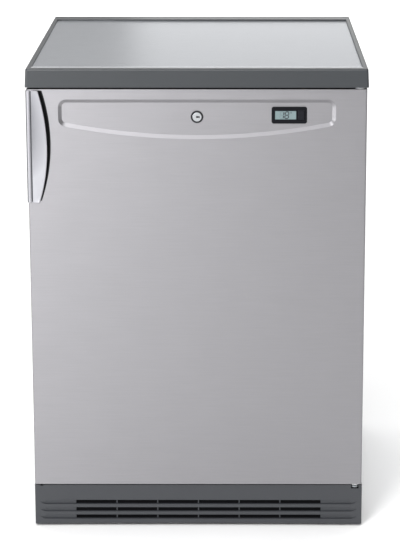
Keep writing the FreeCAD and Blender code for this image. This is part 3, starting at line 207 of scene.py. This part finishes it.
def finishes():
    """Every finish by name: its colours, roughness, grain size and relief."""
    chosen = finish_of()
    scratch = chosen.brush_length / chosen.brush_pitch
    cells = "ShaderNodeTexVoronoi"
    return {
        # a fine matt grain from the eroded mould breaks up the highlights
        "spark_grained_abs_frame": dict(
            colours=around(chosen.abs_grey, 0.04), roughness=(0.28, 0.4), size=chosen.spark_grain,
            relief=0.00003, detail=3),
        # the same mould finish, duller because it is near the floor
        "spark_grained_abs_plinth": dict(
            colours=around(chosen.plinth_grey, 0.04), roughness=(0.4, 0.55),
            size=chosen.spark_grain, relief=0.00004, detail=3),
        # dark matt strips that close the door's ends
        "moulded_dark_caps": dict(
            colours=around(linear("#1c1d20"), 0.08), roughness=(0.45, 0.6),
            size=chosen.spark_grain, relief=0.00003),
        # black pocket and fittings: matt, almost without a highlight
        "moulded_black_abs": dict(
            colours=around(chosen.black_abs, 0.12), roughness=(0.45, 0.6),
            size=chosen.spark_grain, relief=0.00003, Specular_IOR_Level=0.3),
        # a soft key a little lighter than the frame round it
        "moulded_black_button": dict(
            colours=around(linear("#15161b"), 0.1), roughness=(0.35, 0.5),
            size=chosen.spark_grain, relief=0.00002, Specular_IOR_Level=0.12),
        # black piece deep in the keyway: painted shade
        "painted_keyway_shade": dict(
            colours=around(linear("#101012"), 0.2), roughness=(0.4, 0.6), size=0.001),
        # dark strip in the groove between the grip's bead and its leaf: painted shade
        "painted_groove_shade": dict(
            colours=around(linear("#2c2d32"), 0.1), roughness=(0.5, 0.7), size=0.002,
            relief=0.00002),
        # brushed sideways: long faint streaks that spread the highlight upright
        "brushed_stainless_door": dict(
            colours=around(chosen.door_steel, 0.035), roughness=(0.38, 0.46),
            size=chosen.brush_pitch, relief=0.000003, metallic=1.0, stretch=(scratch, 1, 1),
            detail=4, Anisotropic=0.6, Anisotropic_Rotation=0.25),
        # brushed sideways and rubbed smooth by use: a soft even sheen
        "brushed_stainless_worktop": dict(
            colours=around(chosen.worktop_steel, 0.02), roughness=(0.27, 0.33),
            size=chosen.brush_pitch, relief=0.000001, metallic=1.0, stretch=(scratch, 1, 1),
            detail=3),
        # drawn bright bead: a thin line of light along the plate's front edge
        "bright_drawn_stainless": dict(
            colours=around(linear("#c6c8cb"), 0.02), roughness=(0.25, 0.35), size=0.0012,
            metallic=1.0, stretch=(scratch, 1, 1)),
        # silver lacquer with fine flake: pale, soft, bright along its edges; painted shade darkens
        # its outer side
        "silver_lacquer_and_painted_flank_shade": dict(
            colours=around(chosen.silver_paint, 0.03), roughness=(0.42, 0.5), size=0.0008,
            relief=0.000004, metallic=0.35),
        # painted before it is folded: faint orange peel under a satin sheen
        "coil_coated_steel": dict(
            colours=around(chosen.cabinet_paint, 0.025), roughness=(0.34, 0.43), size=0.0024,
            relief=0.00002, detail=1),
        # spangle of dull and bright zinc crystals 8 mm across
        "hot_dip_galvanised_steel": dict(
            colours=(linear("#b3b7ba"), linear("#8e9296")), roughness=(0.36, 0.5), size=0.008,
            metallic=1.0, pattern=cells),
        # bluish white hardware, a little streaky from the plating barrel
        "zinc_plated_steel": dict(
            colours=(linear("#b4b8be"), linear("#d3d6da")), roughness=(0.22, 0.36), size=0.002,
            metallic=1.0, detail=3),
        # near mirror, with rubbing marks from keys
        "chrome_plated_zinc": dict(
            colours=(linear("#b9bbbe"), linear("#cccfd2")), roughness=(0.12, 0.24), size=0.0015,
            metallic=1.0, detail=3),
        # glossy white sheet, slightly wavy where it was drawn into the mould
        "thermoformed_polystyrene": dict(
            colours=around(chosen.white_hips, 0.015), roughness=(0.26, 0.34), size=0.035,
            relief=0.0001, detail=1),
        # white bushes and rollers: soft gloss
        "moulded_nylon": dict(
            colours=around(linear("#e2e3e3"), 0.03), roughness=(0.3, 0.4), size=0.0016,
            relief=0.00002, Subsurface_Weight=0.05),
        # slightly greyer and duller white of the small fittings inside
        "moulded_polypropylene": dict(
            colours=around(linear("#dcdede"), 0.03), roughness=(0.36, 0.46), size=0.0016,
            relief=0.00002, Subsurface_Weight=0.05),
        # pale yellow skin over cells of about 2 mm
        "rigid_polyurethane_foam": dict(
            colours=(linear("#cdb77f"), linear("#e3d3a2")), roughness=(0.85, 0.95), size=0.002,
            relief=0.0003, pattern=cells),
        # resin-bound chips 3 to 10 mm long
        "pressed_chipboard": dict(
            colours=(linear("#8d7048"), linear("#c4a878")), roughness=(0.75, 0.9), size=0.004,
            relief=0.0002, stretch=(2.2, 1, 1), detail=3),
        # matt grey magnetic seal, faintly dusty
        "extruded_soft_pvc": dict(
            colours=(linear("#7c7e83"), linear("#8e9094")), roughness=(0.55, 0.65), size=0.01,
            relief=0.00004, detail=3),
        # matt black with a grey bloom
        "moulded_black_rubber": dict(
            colours=(linear("#17181a"), linear("#2a2b2d")), roughness=(0.7, 0.85), size=0.004,
            relief=0.00005, detail=3),
        # glossy black with orange peel about 3 mm across
        "stoved_black_enamel": dict(
            colours=(linear("#0c0d0e"), linear("#141517")), roughness=(0.3, 0.42), size=0.003,
            relief=0.00004, detail=1),
        # dull black electrocoat, made this dark as painted shade so the tray hardly shows behind
        # the plinth's slots
        "black_electrocoat_painted_slot_shade": dict(
            colours=(linear("#060607"), linear("#0b0b0c")), roughness=(0.8, 0.95), size=0.004,
            relief=0.00003, Specular_IOR_Level=0.08),
        # black sheet behind the plinth's slots: painted shade that swallows the light there
        "painted_slot_shade": dict(
            colours=(linear("#08080a"), linear("#0d0d0f")), roughness=(0.9, 1.0), size=0.0015,
            relief=0.0003, pattern=cells, Specular_IOR_Level=0.05),
        # copper tube dulled to brown in patches
        "drawn_copper_tube": dict(
            colours=(linear("#8a5138"), linear("#c9835f")), roughness=(0.45, 0.25), size=0.012,
            metallic=1.0, detail=4),
        # satin plate with a whitish frosted bloom
        "roll_bonded_aluminium": dict(
            colours=(linear("#b8bcc0"), linear("#d8dbde")), roughness=(0.3, 0.5), size=0.02,
            metallic=1.0, detail=4),
        # thick soft white coating, slightly uneven
        "dip_coated_wire": dict(
            colours=(linear("#d6d8d8"), linear("#e8e9e9")), roughness=(0.28, 0.4), size=0.006,
            relief=0.0001),
        # glossy black bezel with very fine wipe marks
        "polished_black_polycarbonate": dict(
            colours=around(chosen.black_abs, 0.15), roughness=(0.14, 0.24), size=0.0007,
            stretch=(14, 1, 1), detail=3, Specular_IOR_Level=0.12),
        # grey-green reflector, faintly mottled, under a clear window
        "liquid_crystal_window": dict(
            colours=around(chosen.lcd_tint, 0.04), roughness=(0.3, 0.4), size=0.0006,
            Coat_Weight=0.4, Coat_Roughness=0.08),
        # darkened crystal, flat and slightly uneven
        "darkened_liquid_crystal": dict(
            colours=around(chosen.segment, 0.1), roughness=(0.35, 0.45), size=0.0006),
        # segments that are off still show as a faint shade
        "idle_liquid_crystal": dict(
            colours=around([0.82 * tint + 0.18 * dark for tint, dark
                            in zip(chosen.lcd_tint, chosen.segment)], 0.05),
            roughness=(0.35, 0.45), size=0.0006),
        # matt seamless floor, very slightly uneven
        "matt_studio_paint": dict(
            colours=(linear("#f4f4f4"), linear("#f8f8f8")), roughness=(0.65, 0.75), size=0.8),
    }


# ---- dressing -----------------------------------------------------------------------------------

def finish(name):
    """The material of a finish, made when it is first wanted."""
    return bpy.data.materials.get(name) or patterned(name, **finishes()[name])


def dress(name, *nodes):
    """Give CAD nodes a finish."""
    for node in nodes:
        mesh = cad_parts[node].data
        mesh.materials.clear()
        mesh.materials.append(finish(name))


def extruded(name, outlines, along, start, depth, finish_name, body):
    """A piece made of flat outlines, extruded along X (0) or Y (1) from a start."""
    mesh = bpy.data.meshes.new(name)
    made = bmesh.new()
    for outline in outlines:
        ends = []
        for reach in (start, start + depth):
            points = [(u, reach, v) if along == 1 else (reach, u, v) for u, v in outline]
            ends.append([made.verts.new(point) for point in points])
        near, far = ends
        made.faces.new(near)
        made.faces.new(far[::-1])
        for n in range(len(outline)):
            after = (n + 1) % len(outline)
            made.faces.new((near[n], far[n], far[after], near[after]))
    bmesh.ops.recalc_face_normals(made, faces=made.faces)
    made.to_mesh(mesh)
    made.free()
    piece = bpy.data.objects.new(name, mesh)
    bpy.context.scene.collection.objects.link(piece)
    mesh.materials.append(finish(finish_name))
    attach(piece, body)


def rectangle(left, bottom, right, top):
    """The outline of an upright rectangle."""
    return [(left, bottom), (right, bottom), (right, top), (left, top)]


# ---- operators ----------------------------------------------------------------------------------

BEAD_WIDTH = 11 * MM
BEAD_BELOW_RIM = 0.1 * MM
BEAD_DEGREES = range(30, 181, 15)  # a straight slope leads up to where the arc starts


class REFRIGERATOR_OT_worktop(bpy.types.Operator):
    """Finish the worktop's frame, plate and board, and lay the bright bead along its front"""

    bl_idname = "refrigerator.worktop"
    bl_label = "Worktop"

    def execute(self, context):
        dress("spark_grained_abs_frame", "worktop_frame")
        dress("brushed_stainless_worktop", "worktop_panel")
        dress("pressed_chipboard", "worktop_board")
        low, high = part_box("worktop_panel")
        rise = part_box("worktop_frame")[1].z - BEAD_BELOW_RIM - high.z
        profile = [(low.y, high.z)]
        for degrees in BEAD_DEGREES:
            turn = math.radians(degrees)
            profile.append((low.y + BEAD_WIDTH / 2 * (1 - math.cos(turn)),
                            high.z + rise * math.sin(turn)))
        extruded("worktop_bead", [profile], 0, low.x, high.x - low.x, "bright_drawn_stainless",
                 "cabinet")
        return {"FINISHED"}


class REFRIGERATOR_OT_cabinet(bpy.types.Operator):
    """Finish the panels, foam, liners, brackets and fixings, and the feet and rollers"""

    bl_idname = "refrigerator.cabinet"
    bl_label = "Cabinet"

    def execute(self, context):
        dress("coil_coated_steel", "side_panel_left", "side_panel_right", "rear_panel",
              "face_frame")
        dress("hot_dip_galvanised_steel", "top_panel", "bottom_panel", "upper_hinge_bracket",
              "lower_hinge_bracket", "lock_strike", "roller_brackets", "lock_cam")
        dress("rigid_polyurethane_foam", "insulation_foam", "door_foam")
        dress("thermoformed_polystyrene", "inner_liner", "door_liner")
        dress("zinc_plated_steel", "panel_screws", "hinge_pins", "roller_axles",
              "compressor_bolts")
        dress("moulded_nylon", "roller_left", "roller_right")
        dress("moulded_black_abs", "foot_left", "foot_right")
        return {"FINISHED"}


# a black sheet of painted shade behind the plinth's slots
SLOT_SHADE_HALF_SHARE = 0.42  # of the plinth's width
SLOT_SHADE_BOTTOM, SLOT_SHADE_TOP = 6 * MM, 62 * MM  # above the plinth's lower edge
SLOT_SHADE_BEHIND, SLOT_SHADE_THICKNESS = 5 * MM, 2 * MM  # behind the plinth's face


class REFRIGERATOR_OT_plinth(bpy.types.Operator):
    """Finish the slotted plinth and put a black sheet of painted shade behind its slots"""

    bl_idname = "refrigerator.plinth"
    bl_label = "Plinth"

    def execute(self, context):
        dress("spark_grained_abs_plinth", "plinth_grille")
        low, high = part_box("plinth_grille")
        reach = SLOT_SHADE_HALF_SHARE * (high.x - low.x)
        outline = rectangle(-reach, low.z + SLOT_SHADE_BOTTOM, reach, low.z + SLOT_SHADE_TOP)
        extruded("plinth_slot_shade", [outline], 1, low.y + SLOT_SHADE_BEHIND, SLOT_SHADE_THICKNESS,
                 "painted_slot_shade", "cabinet")
        return {"FINISHED"}


class REFRIGERATOR_OT_door(bpy.types.Operator):
    """Finish the door's skin, caps, gasket and fittings"""

    bl_idname = "refrigerator.door"
    bl_label = "Door"

    def execute(self, context):
        dress("brushed_stainless_door", "door_skin")
        dress("moulded_dark_caps", "door_top_cap", "door_bottom_cap")
        dress("extruded_soft_pvc", "door_gasket")
        dress("moulded_nylon", "door_fittings")
        return {"FINISHED"}


# a dark strip of painted shade in the groove beside the grip's bead
GROOVE_SHADE_START, GROOVE_SHADE_END = 7.3 * MM, 9.2 * MM  # from the grip's outer side
GROOVE_SHADE_INSET = 1 * MM
GROOVE_SHADE_AHEAD, GROOVE_SHADE_THICKNESS = 2.4 * MM, 0.4 * MM  # ahead of the door's skin
# FLANK_START and FLANK_FULL bound the painted shade on the grip's outer side
FLANK_START, FLANK_FULL = -0.3, -0.7  # the normal's sideways part where darkening starts, ends
MIX_FACTOR, MIX_PLAIN, MIX_DARK, MIX_RESULT = 0, 6, 7, 2  # sockets of a mix of colours


class REFRIGERATOR_OT_grip(bpy.types.Operator):
    """Finish the crescent grip and its pocket, paint shade on the grip's outer side, and lay a
    dark strip of painted shade in the groove beside its bead
    """

    bl_idname = "refrigerator.grip"
    bl_label = "Grip"

    def execute(self, context):
        dress("silver_lacquer_and_painted_flank_shade", "handle_grip")
        self.paint_flank_shade(finish("silver_lacquer_and_painted_flank_shade"))
        dress("moulded_black_abs", "handle_pocket")
        low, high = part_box("handle_grip")
        outline = rectangle(low.x + GROOVE_SHADE_START, low.z + GROOVE_SHADE_INSET, low.x + GROOVE_SHADE_END,
                            high.z - GROOVE_SHADE_INSET)
        extruded("grip_groove_shade", [outline], 1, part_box("door_skin")[0].y - GROOVE_SHADE_AHEAD,
                 GROOVE_SHADE_THICKNESS, "painted_groove_shade", "door")
        return {"FINISHED"}

    def paint_flank_shade(self, material):
        """Paints shade on the grip's outer side: where its normal turns sideways to -X the colour
        darkens, standing in for the dark surroundings that side would reflect.
        """
        tree = material.node_tree
        target = tree.nodes["Principled BSDF"].inputs["Base Color"]
        plain = target.links[0].from_socket
        place = add_node(tree, "ShaderNodeTexCoord")
        facing = add_node(tree, "ShaderNodeSeparateXYZ", {}, {"Vector": place.outputs["Normal"]})
        share = add_node(tree, "ShaderNodeMapRange", {},
                         {"Value": facing.outputs["X"], "From Min": FLANK_START,
                          "From Max": FLANK_FULL})
        # painted shade: a dark grey mixed into the lacquer's colour on the outer flank
        painted_flank_shade = add_node(tree, "ShaderNodeMix", {"data_type": "RGBA"},
                        {MIX_FACTOR: share.outputs["Result"], MIX_PLAIN: plain,
                         MIX_DARK: linear("#36373c")})
        tree.links.new(painted_flank_shade.outputs[MIX_RESULT], target)


KEYWAY_EYE, KEYWAY_HALF_SLIT, KEYWAY_REACH = 1.7 * MM, 1.1 * MM, 4.6 * MM
KEYWAY_START, KEYWAY_SWEEP, KEYWAY_STEPS = 40, 280, 14  # the eye's arc, in degrees
KEYWAY_SHADE_BEHIND, KEYWAY_SHADE_THICKNESS = 1.2 * MM, 0.6 * MM  # behind the plug's face


class REFRIGERATOR_OT_lock(bpy.types.Operator):
    """Finish the key lock and put a dark piece of painted shade in its keyway"""

    bl_idname = "refrigerator.lock"
    bl_label = "Lock"

    def execute(self, context):
        dress("chrome_plated_zinc", "lock_barrel", "lock_plug")
        dress("moulded_black_abs", "lock_ring")
        low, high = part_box("lock_plug")
        middle = (low + high) / 2
        keyway = []
        for n in range(KEYWAY_STEPS + 1):
            turn = math.radians(KEYWAY_START + KEYWAY_SWEEP * n / KEYWAY_STEPS)
            keyway.append((middle.x + KEYWAY_EYE * math.cos(turn),
                           middle.z + KEYWAY_EYE * math.sin(turn)))
        keyway += [(middle.x + KEYWAY_REACH, middle.z - KEYWAY_HALF_SLIT),
                   (middle.x + KEYWAY_REACH, middle.z + KEYWAY_HALF_SLIT)]
        extruded("keyway_painted_shade", [keyway], 1, low.y + KEYWAY_SHADE_BEHIND, KEYWAY_SHADE_THICKNESS,
                 "painted_keyway_shade", "lock")
        return {"FINISHED"}


# the ends of each segment, in shares of a figure's width and height
SEGMENTS = {
    "a": ((0, 1), (1, 1)), "b": ((1, 1), (1, 0.5)), "c": ((1, 0.5), (1, 0)),
    "d": ((0, 0), (1, 0)), "e": ((0, 0.5), (0, 0)), "f": ((0, 1), (0, 0.5)),
    "g": ((0, 0.5), (1, 0.5)),
}
LIT = {0: "abcdef", 1: "bc", 2: "abged", 3: "abgcd", 4: "fgbc", 5: "afgcd", 6: "afgedc",
       7: "abc", 8: "abcdefg", 9: "abcdfg"}
SEGMENT_GAP = 0.12  # left free at each end, in strokes
FIGURE_WIDTH = 0.52  # of its height
FIRST_FIGURE_END = 3.5 * MM  # left of the window's middle
FIGURE_GAP = 0.42  # between the figures, of a figure's width
DEGREE_RIGHT = 4.2 * MM  # of the last figure
DEGREE_UP = 0.36  # above the window's middle, of a figure's height
DEGREE_OUTER, DEGREE_INNER, DEGREE_SIDES = 1.2 * MM, 0.6 * MM, 12
FILM = 0.05 * MM


def segment_outline(start, end, stroke):
    """The outline of a pointed bar between two points."""
    start, end = Vector(start), Vector(end)
    along = (end - start).normalized()
    across = Vector((-along.y, along.x)) * stroke / 2
    start, end = start + along * stroke * SEGMENT_GAP, end - along * stroke * SEGMENT_GAP
    point = along * stroke / 2
    return [start, start + point + across, end - point + across, end, end - point - across,
            start + point - across]


class REFRIGERATOR_OT_display(bpy.types.Operator):
    """Finish the temperature display and set its figures"""

    bl_idname = "refrigerator.display"
    bl_label = "Display"

    def execute(self, context):
        shown = context.scene.refrigerator_display
        dress("polished_black_polycarbonate", "display_bezel")
        dress("moulded_black_button", "display_button")
        dress("liquid_crystal_window", "display_lcd")
        low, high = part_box("display_lcd")
        middle = (low + high) / 2
        tall = shown.digit_height
        wide = tall * FIGURE_WIDTH
        lit, dark = [], []
        places = [middle.x - FIRST_FIGURE_END - wide,
                  middle.x - FIRST_FIGURE_END + wide * FIGURE_GAP]
        for place, figure in zip(places, divmod(shown.reading, 10)):
            for name, ends in SEGMENTS.items():
                points = [(place + wide * x + math.tan(shown.lean) * tall * (z - 0.5),
                           middle.z + tall * (z - 0.5)) for x, z in ends]
                outline = [tuple(p) for p in segment_outline(*points, shown.stroke)]
                (lit if name in LIT[figure] else dark).append(outline)
        centre = (places[1] + wide + DEGREE_RIGHT, middle.z + tall * DEGREE_UP)
        for n in range(DEGREE_SIDES):
            a, b = (2 * math.pi * k / DEGREE_SIDES for k in (n, n + 1))
            lit.append([(centre[0] + r * math.cos(t), centre[1] + r * math.sin(t))
                        for r, t in ((DEGREE_INNER, a), (DEGREE_OUTER, a), (DEGREE_OUTER, b),
                                     (DEGREE_INNER, b))])
        extruded("display_figures", lit, 1, low.y - FILM, FILM, "darkened_liquid_crystal",
                 "door")
        extruded("display_idle_segments", dark, 1, low.y - FILM, FILM, "idle_liquid_crystal",
                 "door")
        return {"FINISHED"}


class REFRIGERATOR_OT_compartment(bpy.types.Operator):
    """Finish the shelves, evaporator, thermostat and drain"""

    bl_idname = "refrigerator.compartment"
    bl_label = "Compartment"

    def execute(self, context):
        dress("dip_coated_wire", "shelf_1", "shelf_2", "shelf_3")
        dress("roll_bonded_aluminium", "evaporator_plate")
        dress("moulded_polypropylene", "thermostat_housing", "thermostat_knob", "drain_spout")
        return {"FINISHED"}


class REFRIGERATOR_OT_refrigeration(bpy.types.Operator):
    """Finish the compressor, condenser, pipes and trays"""

    bl_idname = "refrigerator.refrigeration"
    bl_label = "Refrigeration"

    def execute(self, context):
        # the tray's black also stands in as painted shade behind the plinth's slots
        dress("black_electrocoat_painted_slot_shade", "base_tray")
        dress("stoved_black_enamel", "compressor_shell", "compressor_base", "condenser_tube",
              "condenser_wires")
        dress("drawn_copper_tube", "filter_drier", "capillary_tube", "refrigerant_pipes")
        dress("moulded_black_rubber", "compressor_grommets")
        dress("moulded_black_abs", "relay_box", "condenser_brackets", "cable_gland",
              "evaporation_tray")
        return {"FINISHED"}


# name, place, aim, width and height in metres, watts, spread in degrees
SOFT_BOXES = (
    ("front_left", (-1.6, -4.0, 1.4), (0, -0.3, 0.5), (1.2, 2.4), 38, 180),
    ("front_high", (-1.2, -3.4, 2.4), (0, -0.3, 0.7), (1.2, 1.0), 106, 180),
    ("front_wide", (0, -5.0, 2.2), (0, -0.3, 0.5), (3.0, 1.5), 19, 180),
    ("back_centre", (0.2, 3.5, 1.2), (0, 0, 0.85), (1.0, 0.5), 2.4, 180),
    ("floor_back", (0, 3.0, 4.0), (0, 3.0, 0), (6.0, 4.0), 162, 180),
    ("floor_far", (0, 8.0, 4.0), (0, 8.0, 0), (8.0, 5.0), 200, 90),
    ("front_top", (0.2, -1.8, 3.2), (0, -0.3, 0.75), (2.2, 0.9), 6, 90),
    ("side_left", (-3.2, -1.8, 0.9), (0, -0.3, 0.75), (0.8, 1.2), 8, 90),
    ("floor_right", (1.6, 0.2, 2.0), (1.6, 0.2, 0), (1.6, 3.0), 8, 40),
)
WORLD_STRENGTH = 0.55
FLOOR_HALF_WIDTH = 12


def area_light(name, location, target, size, power, spread):
    """A soft rectangular light aimed at a point, with its spread in degrees."""
    data = bpy.data.lights.new(name, "AREA")
    data.shape = "RECTANGLE"
    data.size, data.size_y = size
    data.energy = power
    data.spread = math.radians(spread)
    light = bpy.data.objects.new(name, data)
    light.visible_camera = False
    light.location = location
    light.rotation_euler = (Vector(target) - Vector(location)).to_track_quat("-Z", "Y").to_euler()
    bpy.context.scene.collection.objects.link(light)


class REFRIGERATOR_OT_studio(bpy.types.Operator):
    """Floor, soft light and camera"""

    bl_idname = "refrigerator.studio"
    bl_label = "Studio"

    def execute(self, context):
        studio = context.scene.refrigerator_studio
        self.floor()
        self.light()
        low, _ = cad_box
        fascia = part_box("worktop_frame")[0].y
        data = bpy.data.cameras.new("camera")
        data.lens = studio.lens
        data.shift_x, data.shift_y = studio.shift_x, studio.shift_y
        camera = bpy.data.objects.new("camera", data)
        camera.location = (studio.camera_side, fascia - studio.camera_distance,
                           low.z + studio.camera_height)
        camera.rotation_euler = Euler((math.pi / 2 - studio.camera_pitch, 0, studio.camera_yaw))
        context.scene.collection.objects.link(camera)
        context.scene.camera = camera
        return {"FINISHED"}

    def floor(self):
        mesh = bpy.data.meshes.new("floor")
        made = bmesh.new()
        bmesh.ops.create_grid(made, x_segments=1, y_segments=1, size=FLOOR_HALF_WIDTH)
        made.to_mesh(mesh)
        made.free()
        floor = bpy.data.objects.new("floor", mesh)
        mesh.materials.append(finish("matt_studio_paint"))
        bpy.context.scene.collection.objects.link(floor)

    def light(self):
        world = bpy.data.worlds.new("studio")
        world.use_nodes = True
        tree = world.node_tree
        background = tree.nodes["Background"]
        background.inputs["Color"].default_value = linear("#ffffff")
        background.inputs["Strength"].default_value = WORLD_STRENGTH
        bpy.context.scene.world = world
        bpy.context.scene.view_settings.view_transform = "Standard"
        for settings in SOFT_BOXES:
            area_light(*settings)


OPERATORS = (
    REFRIGERATOR_OT_worktop, REFRIGERATOR_OT_cabinet, REFRIGERATOR_OT_plinth,
    REFRIGERATOR_OT_door, REFRIGERATOR_OT_grip, REFRIGERATOR_OT_lock, REFRIGERATOR_OT_display,
    REFRIGERATOR_OT_compartment, REFRIGERATOR_OT_refrigeration, REFRIGERATOR_OT_studio,
)


class REFRIGERATOR_PT_panel(bpy.types.Panel):
    """Lists the refrigerator's operators and settings"""

    bl_label = "Refrigerator"
    bl_space_type = "VIEW_3D"
    bl_region_type = "UI"
    bl_category = "Refrigerator"

    def draw(self, context):
        for operator in OPERATORS:
            self.layout.operator(operator.bl_idname)
        for group in GROUPS:
            settings = getattr(context.scene, GROUPS[group])
            for name in group.__annotations__:
                self.layout.prop(settings, name)


GROUPS = {RefrigeratorFinish: "refrigerator_finish", RefrigeratorDisplay: "refrigerator_display",
          RefrigeratorStudio: "refrigerator_studio"}


def register():
    for made in (*GROUPS, *OPERATORS, REFRIGERATOR_PT_panel):
        bpy.utils.register_class(made)
    for group, name in GROUPS.items():
        setattr(bpy.types.Scene, name, bpy.props.PointerProperty(type=group))


def unregister():
    for name in GROUPS.values():
        delattr(bpy.types.Scene, name)
    for made in (REFRIGERATOR_PT_panel, *reversed(OPERATORS), *reversed(GROUPS)):
        bpy.utils.unregister_class(made)


def main():
    register()
    for operator in OPERATORS:
        group, name = operator.bl_idname.split(".")
        getattr(getattr(bpy.ops, group), name)()


if __name__ == "__main__":
    main()
